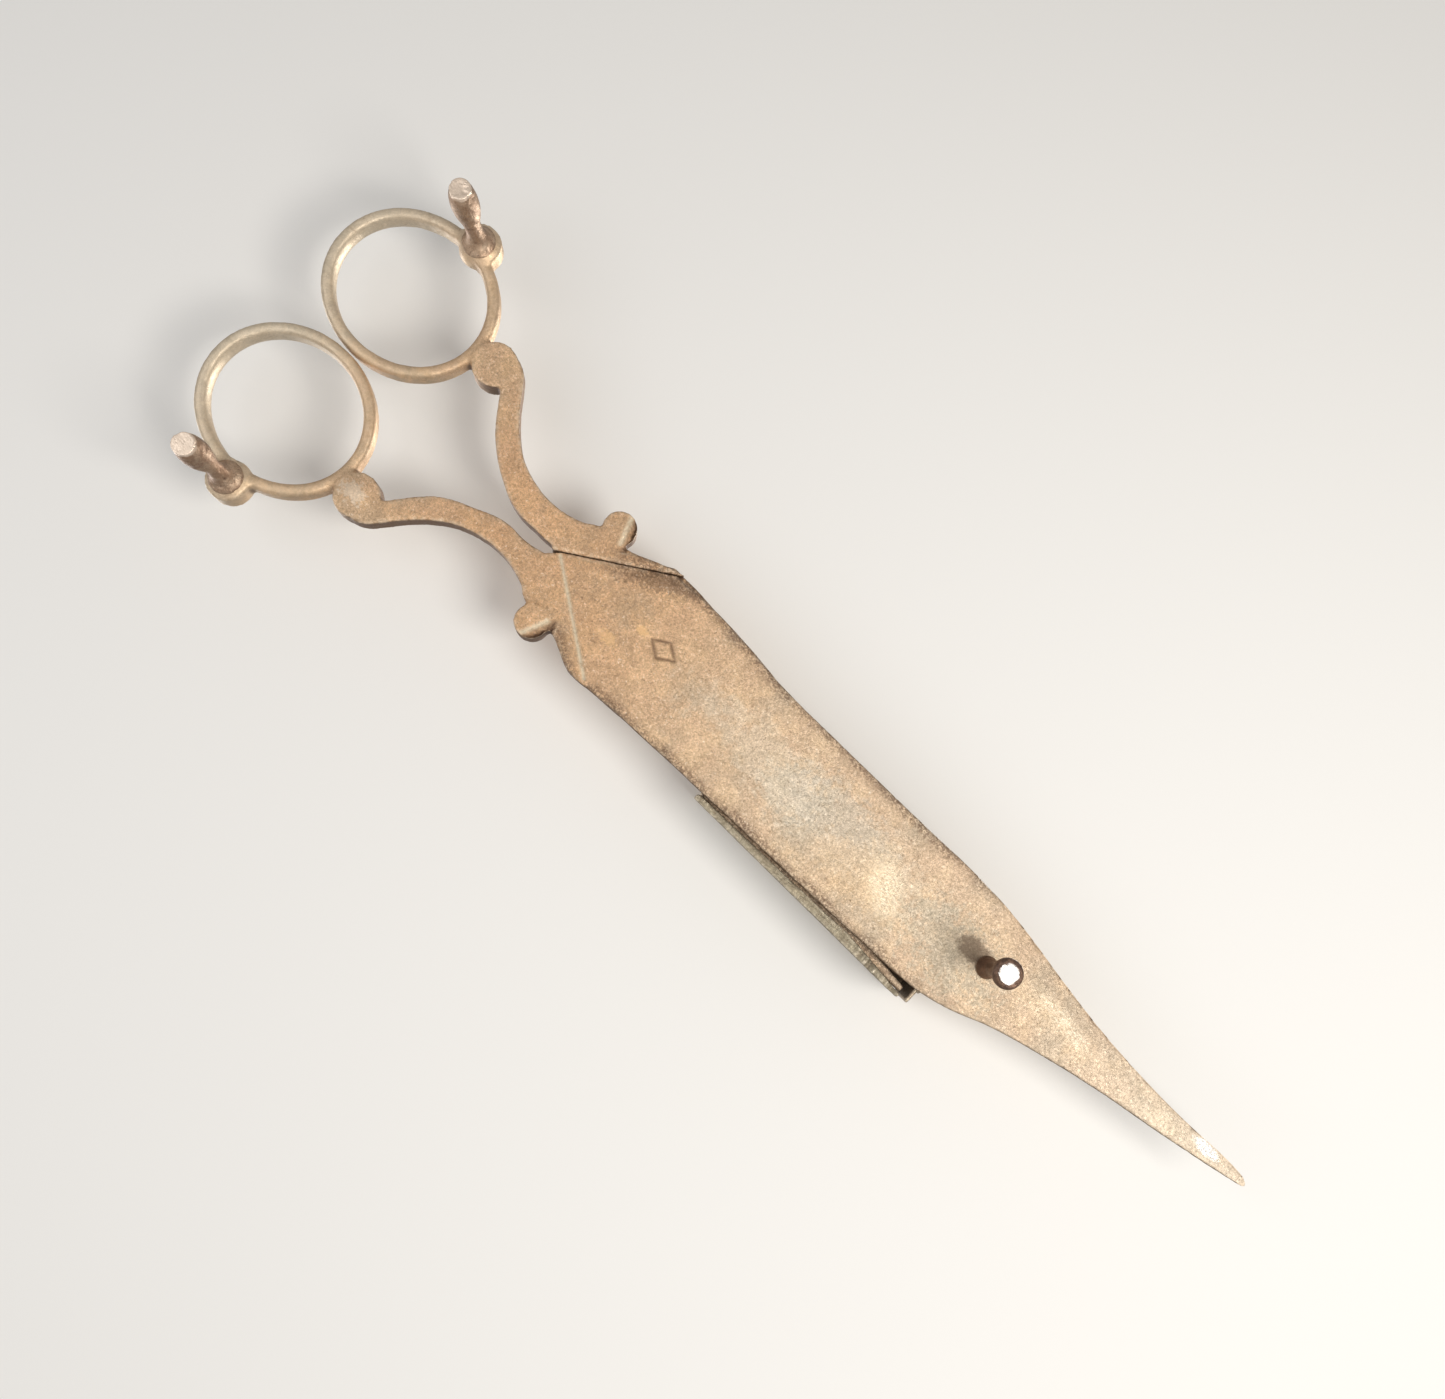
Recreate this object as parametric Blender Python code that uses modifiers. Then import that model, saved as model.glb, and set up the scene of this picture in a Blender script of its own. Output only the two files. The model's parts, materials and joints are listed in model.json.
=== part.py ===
"""Scissor-type candle snuffer (wick trimmer): two forged arms on one pivot screw, on three small feet.

Metres, +Z up. The tip points along +X, the feet stand on Z = 0 and the origin is under the middle of the
closed snuffer. The box arm carries the pan and the snuff box, and its ring is on the +Y side. The press arm
turns about the pivot and its ring is on the -Y side. Inside this script every X and Y is measured from the
pivot's axis, and the assembly's parent empty moves the whole to its origin.
"""

import math

import bmesh
import bpy
from mathutils import Matrix, Vector

MM = 0.001
BOX_SIDE = 1
PRESS_SIDE = -1
CORNER = True

# Clearances
SEAM = 0.1 * MM
LAP_GAP = 0.3 * MM

# Heights
FOOT_HEIGHT = 11.4 * MM
ARM_THICKNESS = 3.4 * MM
PAN_THICKNESS = 1.6 * MM
UNDERSIDE = FOOT_HEIGHT
PAN_TOP = UNDERSIDE + PAN_THICKNESS
JAW_UNDERSIDE = PAN_TOP + LAP_GAP
ARM_TOP = UNDERSIDE + ARM_THICKNESS

# Finger rings
RING_X = -59.3 * MM
RING_RADIUS_X = 12.6 * MM
RING_RADIUS_Y = 11.3 * MM
RING_BAND = 1.75 * MM
RINGS_MEET_Y = -0.3 * MM
RING_Y = RING_RADIUS_Y + LAP_GAP / 2
JUNCTION_RADIUS = 3.15 * MM
JUNCTION_OVERLAP = 0.6 * MM
JUNCTION_X = RING_X + RING_RADIUS_X + JUNCTION_RADIUS - JUNCTION_OVERLAP
JUNCTION_Y = RING_Y + 1.25 * MM
LOBE_RADIUS = 3.0 * MM
LOBE_X = RING_X + 1.8 * MM
LOBE_Y = RING_Y + RING_RADIUS_Y + 0.25 * MM

# Half-lap at the pivot: each shoulder is a straight line this far from the pivot's axis
SHOULDER_DISTANCE = 11.84 * MM
SHOULDER_ANGLE = math.radians(123.3)
SHOULDER_LENGTH = 16.0 * MM
SCROLL_RADIUS = 2.35 * MM
SCROLL_X = {BOX_SIDE: -16.1 * MM, PRESS_SIDE: -16.65 * MM}
SCROLL_Y = {BOX_SIDE: 8.35 * MM, PRESS_SIDE: 8.65 * MM}
SHANKS_MEET_Y = 0.35 * MM
SHANK_FRONT_X = -16.35 * MM
LAP_FRONT_X = 12.7 * MM
LAP_CORNER_Y = 9.15 * MM
LAP_HALF_WIDTH = 9.7 * MM
LAP_EDGE_PROUD = 0.38 * MM

# Jaw bar and press plate
PRESS_THICKNESS = 0.65 * MM
PRESS_LEAN = math.radians(3.3)
PRESS_REAR_X = 15.4 * MM
PRESS_DROP = 1.2 * MM
JAW_INNER_REAR_Y = 4.0 * MM
JAW_INNER_FRONT_Y = 8.2 * MM
JAW_OUTER_Y = 9.0 * MM
PRESS_Y = JAW_OUTER_Y + SEAM + (PRESS_DROP + ARM_TOP - JAW_UNDERSIDE) * math.tan(PRESS_LEAN)
FLANGE_THICKNESS = 0.6 * MM
FLANGE_WIDTH = 2.6 * MM
FLANGE_LENGTH = 15.0 * MM
RIVET_RADIUS = 0.7 * MM
RIVET_HEAD_RADIUS = 1.3 * MM
RIVET_HEAD_HEIGHT = 0.6 * MM

# Snuff box: its rear wall clears the press arm's lap corner as that swings round
LAP_SWEEP = math.hypot(LAP_FRONT_X, LAP_CORNER_Y)
BOX_REAR_X = LAP_SWEEP + LAP_GAP
BOX_LENGTH = 38.0 * MM
BOX_FRONT_X = BOX_REAR_X + BOX_LENGTH
BOX_BACK_Y = -7.9 * MM
BOX_SHEET = 0.5 * MM
BOX_FRONT_WALL_PROUD = 0.55 * MM
BOX_HEIGHT = 10.2 * MM
BOX_BEND = 2.2 * MM
BOX_TOP = PAN_TOP + SEAM + BOX_HEIGHT
ROOF_THICKNESS = 0.7 * MM
ROOF_HANG = 0.4 * MM
PRESS_FRONT_X = BOX_FRONT_X - BOX_SHEET - 1.1 * MM

# Pan from the box to its point
TIP_LENGTH = 47.6 * MM
TIP_X = BOX_FRONT_X + TIP_LENGTH
TIP_Y = -4.5 * MM

# Pivot screw and its washer
SCREW_RADIUS = 2.3 * MM
THREAD_RADIUS = 1.6 * MM
THREAD_DEPTH = 1.1 * MM
SCREW_HEAD_RADIUS = 3.6 * MM
SCREW_HEAD_HEIGHT = 1.5 * MM
SLOT_WIDTH = 0.8 * MM
SLOT_DEPTH = 0.7 * MM
WASHER_RADIUS = 5.2 * MM
WASHER_THICKNESS = 0.5 * MM

# Feet
TENON_RADIUS = 0.8 * MM
TIP_FOOT_X = BOX_FRONT_X + 4.1 * MM
TIP_FOOT_Y = -1.1 * MM
TIP_FOOT_DISC_RADIUS = 1.95 * MM
TIP_FOOT_STEM_RADIUS = 0.85 * MM
RING_FOOT_LEAN_BACK = 2.6 * MM
RING_FOOT_LEAN_OUT = 0.7 * MM

ORIGIN_X = (TIP_X + RING_X - RING_RADIUS_X) / 2


def clear_scene():
    for item in list(bpy.data.objects):
        bpy.data.objects.remove(item, do_unlink=True)


def new_collection(name):
    collection = bpy.data.collections.new(name)
    bpy.context.scene.collection.children.link(collection)
    return collection


def link(item, collection):
    """Puts an object in one collection only."""
    for old in list(item.users_collection):
        old.objects.unlink(item)
    collection.objects.link(item)
    return item


def metal(name, colour, roughness):
    """A plain metal; the colour is linear red, green and blue."""
    material = bpy.data.materials.new(name)
    material.use_nodes = True
    shader = material.node_tree.nodes["Principled BSDF"]
    shader.inputs["Base Color"].default_value = (*colour, 1)
    shader.inputs["Roughness"].default_value = roughness
    shader.inputs["Metallic"].default_value = 1
    return material


def finish_node(item, parts, parent, colour, roughness):
    """Names the material after the piece, shades its round faces smooth and hangs it on its parent."""
    link(item, parts)
    item.data.materials.clear()
    item.data.materials.append(metal(item.name + "_metal", colour, roughness))
    item.data.shade_smooth()
    item.data.set_sharp_from_angle(angle=math.radians(35))
    item.parent = parent


def welded_mesh(item):
    """Turns a curve, or a mesh with modifiers, into a plain welded mesh object of the same name."""
    bpy.context.view_layer.update()
    evaluated = item.evaluated_get(bpy.context.evaluated_depsgraph_get())
    mesh = bpy.data.meshes.new_from_object(evaluated)
    form = bmesh.new()
    form.from_mesh(mesh)
    bmesh.ops.remove_doubles(form, verts=form.verts, dist=0.002 * MM)
    bmesh.ops.recalc_face_normals(form, faces=form.faces)
    form.to_mesh(mesh)
    form.free()
    name, place = item.name, item.matrix_world.copy()
    bpy.data.objects.remove(item)
    solid = bpy.data.objects.new(name, mesh)
    solid.matrix_world = place
    bpy.context.scene.collection.objects.link(solid)
    return solid


def prism(name, points, bottom, top, resolution=4):
    """A flat outline raised from one height to another, smooth except at points marked CORNER."""
    curve = bpy.data.curves.new(name, "CURVE")
    curve.dimensions = "2D"
    curve.fill_mode = "BOTH"
    curve.extrude = (top - bottom) / 2
    curve.resolution_u = resolution
    spline = curve.splines.new("BEZIER")
    spline.use_cyclic_u = True
    spline.bezier_points.add(len(points) - 1)
    for knot, point in zip(spline.bezier_points, points):
        knot.co = (point[0], point[1], 0)
        handle = "VECTOR" if len(point) == 3 else "AUTO"
        knot.handle_left_type = handle
        knot.handle_right_type = handle
    item = bpy.data.objects.new(name, curve)
    item.location.z = (bottom + top) / 2
    bpy.context.scene.collection.objects.link(item)
    return welded_mesh(item)


def turned(name, profile, steps=24):
    """A turned solid. The profile is (radius, height) pairs from the top of its outer side to the bottom."""
    mesh = bpy.data.meshes.new(name)
    points = [(radius, 0, height) for radius, height in profile]
    mesh.from_pydata(points, [(i, i + 1) for i in range(len(points) - 1)], [])
    item = bpy.data.objects.new(name, mesh)
    bpy.context.scene.collection.objects.link(item)
    screw = item.modifiers.new("turn", "SCREW")
    screw.steps = steps
    screw.render_steps = steps
    screw.use_merge_vertices = True
    screw.merge_threshold = 0.002 * MM
    return welded_mesh(item)


def cylinder(name, x, y, radius, bottom, top, vertices=24):
    bpy.ops.mesh.primitive_cylinder_add(
        vertices=vertices, radius=radius, depth=top - bottom, location=(x, y, (bottom + top) / 2)
    )
    item = bpy.context.object
    item.name = name
    return item


def block(name, low, high):
    """A box from its lowest corner to its highest, with its scale applied."""
    low, high = Vector(low), Vector(high)
    bpy.ops.mesh.primitive_cube_add(size=1, location=(low + high) / 2)
    item = bpy.context.object
    item.name = name
    item.data.transform(Matrix.Diagonal((*(high - low), 1)))
    return item


def combine(target, tool, operation, helpers):
    """Joins another solid to the target, or cuts it away, and keeps that solid as a wire helper."""
    link(tool, helpers)
    tool.hide_render = True
    tool.display_type = "WIRE"
    modifier = target.modifiers.new(tool.name, "BOOLEAN")
    modifier.operation = operation
    modifier.solver = "EXACT"
    modifier.object = tool


def shoulder_point(back, side, gap=0.0):
    """A point on a lap shoulder's line, this far back from the line's nearest point to the pivot."""
    away = Vector((math.cos(SHOULDER_ANGLE), side * math.sin(SHOULDER_ANGLE)))
    along = Vector((-side * away.y, side * away.x))
    return away * (SHOULDER_DISTANCE - gap) + along * back


def lap_cutter(name, side, bottom, top):
    """A large block that takes one half of an arm's thickness away in front of its shoulder."""
    reach = 0.2
    item = block(name, (-reach, -reach, bottom), (0, reach, top))
    item.rotation_euler.z = side * SHOULDER_ANGLE
    middle = (bottom + top) / 2
    centre = Vector((math.cos(SHOULDER_ANGLE), side * math.sin(SHOULDER_ANGLE)))
    centre *= SHOULDER_DISTANCE - reach / 2
    item.location = (centre.x, centre.y, middle)
    return item


def shank_rear(share_along, share_out):
    """A point on the shank's swept rear half, as shares of the way to the ring's junction."""
    return SHANK_FRONT_X + share_along * (JUNCTION_X - SHANK_FRONT_X), share_out * JUNCTION_Y


def shank_outer_edge():
    """The shank's outer edge on the +Y side, from the ring's junction to the scroll."""
    shares = [(1.08, 1.165), (1.0, 1.215), (0.93, 1.21), (0.875, 1.15)]
    shares += [(0.825, 1.03), (0.745, 0.81), (0.655, 0.62)]
    rear = [shank_rear(*share) for share in shares]
    front = [(-32.0, 6.2), (-28.0, 4.95), (-25.0, 4.8), (-22.5, 5.2), (-20.5, 5.9), (-19.0, 6.9)]
    return rear + [(x * MM, y * MM) for x, y in front]


def shank_inner_edge(side):
    """The shank's inner edge, as if on the +Y side, from the lap to the ring's junction."""
    front = [(-24.0, 0.95), (-28.0, 1.05), (-32.0, 2.55)]
    shares = [(0.716, 0.395), (0.789, 0.55), (0.85, 0.72), (0.9, 0.86), (0.97, 1.0)]
    shift = side * SHANKS_MEET_Y
    return [(x * MM, y * MM + shift) for x, y in front] + [shank_rear(*share) for share in shares]


def mirrored(points, side):
    return [(point[0], side * point[1], *point[2:]) for point in points]


def lap_corner(side):
    """An arm's rear lap corner and its seam with the other arm's shoulder, from the front to the back."""
    seam_front = shoulder_point(0.35 * MM, -side, LAP_GAP)
    seam_rear = shoulder_point(SHOULDER_LENGTH, -side, LAP_GAP)
    return [
        (seam_front.x, seam_front.y, CORNER),
        (seam_rear.x, seam_rear.y, CORNER),
        (-21.3 * MM, side * 0.7 * MM, CORNER),
    ]


def scroll_to_lap(side):
    """The edge from the scroll to the lap's widest place, which covers the other arm's shoulder."""
    points = [(-14.2, 7.3), (-12.6, 7.75), (-10.5, 8.7), (-8.6, 9.5)]
    return [(x * MM, side * y * MM) for x, y in points]


def arm_blank(name, side, plate_edge):
    """An arm's flat blank at full thickness, from the ring's junction round its plate and back."""
    outline = mirrored(shank_outer_edge(), side) + scroll_to_lap(side) + plate_edge
    outline += lap_corner(side) + mirrored(shank_inner_edge(side), side)
    return prism(name, outline, UNDERSIDE, ARM_TOP)


def pan_edge():
    """The pan's edge from the lap on the +Y side round the point to the lap on the -Y side."""
    mouth_side = [(-6.6, 9.75, CORNER), (-3.0, 9.35), (6.0, 8.95)]
    back_side = [(6.0, -9.4), (0.0, -9.7)]
    box_side = [(0.0, 8.65), (0.35, 8.35), (0.7, 7.95), (0.955, 7.55)]
    box_back = [(0.9, -8.9), (0.6, -8.8), (0.25, -8.7), (-0.08, -8.8)]
    to_point = [(0.02, 7.1), (0.09, 6.2), (0.21, 4.0), (0.38, 1.8), (0.55, 0.0), (0.72, -1.4), (0.885, -2.9)]
    from_point = [(0.93, -5.2), (0.76, -4.95), (0.59, -5.15), (0.43, -5.75)]
    from_point += [(0.26, -6.9), (0.13, -7.95), (0.03, -8.6)]
    point = [(TIP_X - 0.3 * MM, TIP_Y + 0.45 * MM, CORNER), (TIP_X, TIP_Y + 0.05 * MM, CORNER)]
    point += [(TIP_X - 1.0 * MM, TIP_Y - 0.5 * MM, CORNER)]

    def lap(points):
        return [(entry[0] * MM, entry[1] * MM, *entry[2:]) for entry in points]

    def beside_box(points):
        return [(BOX_REAR_X + share * BOX_LENGTH, y * MM) for share, y in points]

    def beyond_box(points):
        return [(BOX_FRONT_X + share * TIP_LENGTH, y * MM) for share, y in points]

    plus_side = lap(mouth_side) + beside_box(box_side) + beyond_box(to_point)
    minus_side = beyond_box(from_point) + beside_box(box_back) + lap(back_side)
    return plus_side + point + minus_side


def press_plate_edge():
    """The press arm's lap plate and jaw bar, from the -Y side of the lap round to its +Y side."""
    proud = LAP_EDGE_PROUD
    return [
        (-7.4 * MM, -LAP_HALF_WIDTH - proud),
        (0.0, -LAP_HALF_WIDTH - proud),
        (6.0 * MM, -9.4 * MM - proud),
        (LAP_FRONT_X, -LAP_CORNER_Y, CORNER),
        (LAP_FRONT_X, JAW_INNER_REAR_Y - 1.2 * MM, CORNER),
        (LAP_FRONT_X + 1.2 * MM, JAW_INNER_REAR_Y, CORNER),
        (PRESS_FRONT_X, JAW_INNER_FRONT_Y, CORNER),
        (PRESS_FRONT_X, JAW_OUTER_Y, CORNER),
        (PRESS_REAR_X + 0.9 * MM, JAW_OUTER_Y, CORNER),
        (PRESS_REAR_X, JAW_OUTER_Y - 0.7 * MM, CORNER),
        (6.0 * MM, 8.6 * MM),
        (0.0, 9.1 * MM),
    ]


def finger_ring(name, side):
    """An oval band of rounded section, lying flat."""
    centre_radius = RING_RADIUS_Y - RING_BAND / 2
    bpy.ops.mesh.primitive_torus_add(
        major_segments=48, minor_segments=10, major_radius=centre_radius, minor_radius=RING_BAND / 2
    )
    item = bpy.context.object
    item.name = name
    stretch = RING_RADIUS_X / RING_RADIUS_Y
    item.data.transform(Matrix.Diagonal((stretch, 1, ARM_THICKNESS / RING_BAND, 1)))
    item.location = (RING_X, RINGS_MEET_Y + side * RING_Y, (UNDERSIDE + ARM_TOP) / 2)
    return item


def ring_bore(name, side):
    """Trims the lobes flush with the inside of the ring, so that a finger feels only the band."""
    proud = 0.15 * MM
    radius = RING_RADIUS_Y - RING_BAND - proud
    stretch = (RING_RADIUS_X - RING_BAND * RING_RADIUS_X / RING_RADIUS_Y - proud) / radius
    item = cylinder(name, 0, 0, radius, UNDERSIDE - MM, ARM_TOP + MM, vertices=48)
    item.data.transform(Matrix.Diagonal((stretch, 1, 1, 1)))
    item.location.x = RING_X
    item.location.y = RINGS_MEET_Y + side * RING_Y
    return item


def add_ring_end(arm, side, helpers):
    """Joins the ring, its two lobes and the scroll to an arm, and drills the foot's hole."""
    proud = 0.2 * MM
    low, high = UNDERSIDE - proud, ARM_TOP + proud
    name = arm.name
    combine(arm, finger_ring(name + "_ring", side), "UNION", helpers)
    junction = cylinder(name + "_junction", JUNCTION_X, side * JUNCTION_Y, JUNCTION_RADIUS, low, high)
    combine(arm, junction, "UNION", helpers)
    lobe = cylinder(name + "_lobe", LOBE_X, side * LOBE_Y, LOBE_RADIUS, UNDERSIDE, ARM_TOP)
    combine(arm, lobe, "UNION", helpers)
    scroll = cylinder(name + "_scroll", SCROLL_X[side], side * SCROLL_Y[side], SCROLL_RADIUS, low, high)
    combine(arm, scroll, "UNION", helpers)
    combine(arm, ring_bore(name + "_ring_bore", side), "DIFFERENCE", helpers)
    radius = TENON_RADIUS + SEAM
    hole = cylinder(name + "_foot_hole", LOBE_X, side * LOBE_Y, radius, low - proud, high + proud, vertices=16)
    combine(arm, hole, "DIFFERENCE", helpers)


def make_box_arm(helpers):
    """The arm with the pan: full thickness behind its shoulder, pan thickness in front of it."""
    arm = arm_blank("box_arm", BOX_SIDE, pan_edge())
    combine(arm, lap_cutter("box_arm_lap", BOX_SIDE, PAN_TOP, ARM_TOP + 0.01), "DIFFERENCE", helpers)
    add_ring_end(arm, BOX_SIDE, helpers)
    thread_end = PAN_TOP - THREAD_DEPTH - SEAM
    thread = cylinder("thread_hole", 0, 0, THREAD_RADIUS + SEAM, thread_end, PAN_TOP + 0.005)
    combine(arm, thread, "DIFFERENCE", helpers)
    radius, low, high = TENON_RADIUS + SEAM, UNDERSIDE - 0.005, PAN_TOP + 0.005
    foot = cylinder("tip_foot_hole", TIP_FOOT_X, TIP_FOOT_Y, radius, low, high, vertices=16)
    combine(arm, foot, "DIFFERENCE", helpers)
    return arm


def flange_rear_x():
    """Where the press plate's flange starts, so that it swings clear of the rear wall's end."""
    wall_end_sweep = math.hypot(BOX_REAR_X + BOX_SHEET, PRESS_Y)
    return math.sqrt(wall_end_sweep**2 - (PRESS_Y - FLANGE_WIDTH) ** 2) + 2 * LAP_GAP


def rivet_places():
    middle = flange_rear_x() + FLANGE_LENGTH / 2
    reach = FLANGE_LENGTH * 0.3
    y = JAW_OUTER_Y - RIVET_HEAD_RADIUS - LAP_GAP
    return {"front": (middle + reach, y), "rear": (middle - reach, y)}


def make_press_arm(helpers):
    """The arm with the jaw bar: full thickness behind its shoulder, and only the upper half in front."""
    arm = arm_blank("press_arm", PRESS_SIDE, press_plate_edge())
    cutter = lap_cutter("press_arm_lap", PRESS_SIDE, UNDERSIDE - 0.01, JAW_UNDERSIDE)
    combine(arm, cutter, "DIFFERENCE", helpers)
    add_ring_end(arm, PRESS_SIDE, helpers)
    low, high = JAW_UNDERSIDE - 0.005, ARM_TOP + 0.005
    pivot = cylinder("pivot_hole", 0, 0, SCREW_RADIUS + SEAM, low, high, vertices=32)
    combine(arm, pivot, "DIFFERENCE", helpers)
    for place, (x, y) in rivet_places().items():
        hole = cylinder("jaw_hole_" + place, x, y, RIVET_RADIUS + SEAM, low, high, vertices=16)
        combine(arm, hole, "DIFFERENCE", helpers)
    return arm


def lean_about_lower_edge(item, edge):
    """Leans a piece towards -Y with the press plate, about a line along X through a point."""
    turn = Matrix.Translation(edge) @ Matrix.Rotation(PRESS_LEAN, 4, "X") @ Matrix.Translation(-edge)
    item.matrix_world = turn @ Matrix.Translation(item.location)


def make_press_plate(helpers):
    """The plate that closes the box's mouth, leaning in a little, with a flange folded over the jaw bar."""
    bottom = JAW_UNDERSIDE - PRESS_DROP
    height = (BOX_TOP + ROOF_THICKNESS - bottom) / math.cos(PRESS_LEAN)
    plate = block("press_plate", (PRESS_REAR_X, 0, 0), (PRESS_FRONT_X, PRESS_THICKNESS, height))
    plate.location += Vector((0, PRESS_Y, bottom))
    lean_about_lower_edge(plate, Vector((0, PRESS_Y, bottom)))
    flange_bottom = ARM_TOP + SEAM
    flange_top = flange_bottom + FLANGE_THICKNESS
    rear = flange_rear_x()
    flange = block(
        "flange",
        (rear, PRESS_Y - FLANGE_WIDTH, flange_bottom),
        (rear + FLANGE_LENGTH, PRESS_Y + PRESS_THICKNESS / 3, flange_top),
    )
    combine(plate, flange, "UNION", helpers)
    for place, (x, y) in rivet_places().items():
        low, high = flange_bottom - MM, flange_top + MM
        hole = cylinder("flange_hole_" + place, x, y, RIVET_RADIUS + SEAM, low, high, vertices=16)
        combine(plate, hole, "DIFFERENCE", helpers)
    return plate


def make_rivet(place, x, y):
    """A round-headed rivet through the flange and the jaw bar, closed flush below."""
    seat = ARM_TOP + SEAM + FLANGE_THICKNESS + SEAM
    head = RIVET_HEAD_RADIUS
    top = seat + RIVET_HEAD_HEIGHT
    profile = [(0, top), (head * 0.5, top - 0.08 * MM), (head * 0.85, seat + 0.3 * MM), (head, seat)]
    profile += [(RIVET_RADIUS, seat), (RIVET_RADIUS, JAW_UNDERSIDE + SEAM), (0, JAW_UNDERSIDE + SEAM)]
    rivet = turned("press_plate_rivet_" + place, profile, steps=16)
    rivet.location = (x, y, 0)
    return rivet


def mouth_cutter(name, low_x, high_x, proud):
    """A leaning block that trims the box at its mouth, parallel to the press plate's inner face."""
    bottom = JAW_UNDERSIDE - PRESS_DROP
    item = block(name, (low_x, 0, -5 * MM), (high_x, 20 * MM, 30 * MM))
    edge = Vector((0, PRESS_Y - LAP_GAP + proud, bottom))
    item.location += edge
    lean_about_lower_edge(item, edge)
    return item


def bend_arc(centre_x, centre_y, radius, start, stop, pieces=6):
    turns = [start + (stop - start) * i / pieces for i in range(pieces + 1)]
    spots = [(centre_x + radius * math.cos(turn), centre_y + radius * math.sin(turn)) for turn in turns]
    return [(x, y, CORNER) for x, y in spots]


def make_box_wall(helpers):
    """The bent strip that makes the snuff box's rear end, back and front end; the +Y side is its mouth."""
    bottom, top = PAN_TOP + SEAM, BOX_TOP
    rear, front, wall = BOX_REAR_X, BOX_FRONT_X, BOX_SHEET
    past_mouth = PRESS_Y + 4 * MM
    bend_y = BOX_BACK_Y + BOX_BEND
    quarter = math.pi / 2
    outer = [(rear, past_mouth, CORNER)]
    outer += bend_arc(rear + BOX_BEND, bend_y, BOX_BEND, 2 * quarter, 3 * quarter)
    outer += bend_arc(front - BOX_BEND, bend_y, BOX_BEND, 3 * quarter, 4 * quarter)
    outer += [(front, past_mouth, CORNER)]
    inner = [(front - wall, past_mouth, CORNER)]
    inner += bend_arc(front - BOX_BEND, bend_y, BOX_BEND - wall, 4 * quarter, 3 * quarter)
    inner += bend_arc(rear + BOX_BEND, bend_y, BOX_BEND - wall, 3 * quarter, 2 * quarter)
    inner += [(rear + wall, past_mouth, CORNER)]
    strip = prism("box_wall", outer + inner, bottom, top, resolution=1)
    combine(strip, mouth_cutter("rear_wall_trim", rear - MM, front - 5 * MM, 0), "DIFFERENCE", helpers)
    front_trim = mouth_cutter("front_wall_trim", front - 3 * MM, front + MM, BOX_FRONT_WALL_PROUD)
    combine(strip, front_trim, "DIFFERENCE", helpers)
    notch = block(
        "jaw_notch",
        (rear - MM, JAW_INNER_REAR_Y - 3 * LAP_GAP, bottom - MM),
        (rear + wall + MM, past_mouth + MM, ARM_TOP + LAP_GAP),
    )
    combine(strip, notch, "DIFFERENCE", helpers)
    return strip


def make_box_roof(helpers):
    """The lid over the box, with a low raised panel and a rim that overhangs the walls a little."""
    low, high = BOX_TOP + SEAM, BOX_TOP + SEAM + ROOF_THICKNESS
    rear, front, back = BOX_REAR_X - ROOF_HANG, BOX_FRONT_X + ROOF_HANG, BOX_BACK_Y - ROOF_HANG
    bend = BOX_BEND + ROOF_HANG
    quarter = math.pi / 2
    outline = [(rear, PRESS_Y, CORNER)]
    outline += bend_arc(rear + bend, back + bend, bend, 2 * quarter, 3 * quarter)
    outline += bend_arc(front - bend, back + bend, bend, 3 * quarter, 4 * quarter)
    outline += [(front, PRESS_Y, CORNER)]
    roof = prism("box_roof", outline, low, high, resolution=1)
    inset = 3.0 * MM
    panel = block(
        "roof_panel",
        (BOX_REAR_X + inset, BOX_BACK_Y + inset, low + ROOF_THICKNESS / 2),
        (BOX_FRONT_X - inset, PRESS_Y - 1.4 * inset, high + ROOF_THICKNESS),
    )
    combine(roof, panel, "UNION", helpers)
    combine(roof, mouth_cutter("roof_trim", rear - MM, front + MM, 0), "DIFFERENCE", helpers)
    return roof


def make_pivot_screw(helpers):
    """The screw the press arm turns on: thread in the pan, plain shank in the press arm, slotted head."""
    head_seat = ARM_TOP + SEAM + WASHER_THICKNESS + SEAM
    head_top = head_seat + SCREW_HEAD_HEIGHT
    head = SCREW_HEAD_RADIUS
    thread_end = PAN_TOP - THREAD_DEPTH
    profile = [(0, head_top), (head * 0.45, head_top - 0.12 * MM), (head * 0.8, head_top - 0.45 * MM)]
    profile += [(head * 0.97, head_top - 0.9 * MM), (head, head_seat + 0.2 * MM), (head, head_seat)]
    profile += [(SCREW_RADIUS, head_seat), (SCREW_RADIUS, PAN_TOP + SEAM), (THREAD_RADIUS, PAN_TOP + SEAM)]
    profile += [(THREAD_RADIUS, thread_end), (0, thread_end)]
    screw = turned("pivot_screw", profile, steps=32)
    slot = block(
        "screw_slot",
        (-head - 0.001, -SLOT_WIDTH / 2, head_top - SLOT_DEPTH),
        (head + 0.001, SLOT_WIDTH / 2, head_top + 0.001),
    )
    slot.rotation_euler.z = math.radians(62)
    combine(screw, slot, "DIFFERENCE", helpers)
    return screw


def make_pivot_washer():
    low = ARM_TOP + SEAM
    high = low + WASHER_THICKNESS
    bore = SCREW_RADIUS + SEAM
    edge = 0.2 * MM
    rim = [(bore, high), (WASHER_RADIUS - edge, high), (WASHER_RADIUS, high - edge), (WASHER_RADIUS, low)]
    return turned("pivot_washer", rim + [(bore, low), (bore, high)], steps=32)


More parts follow.
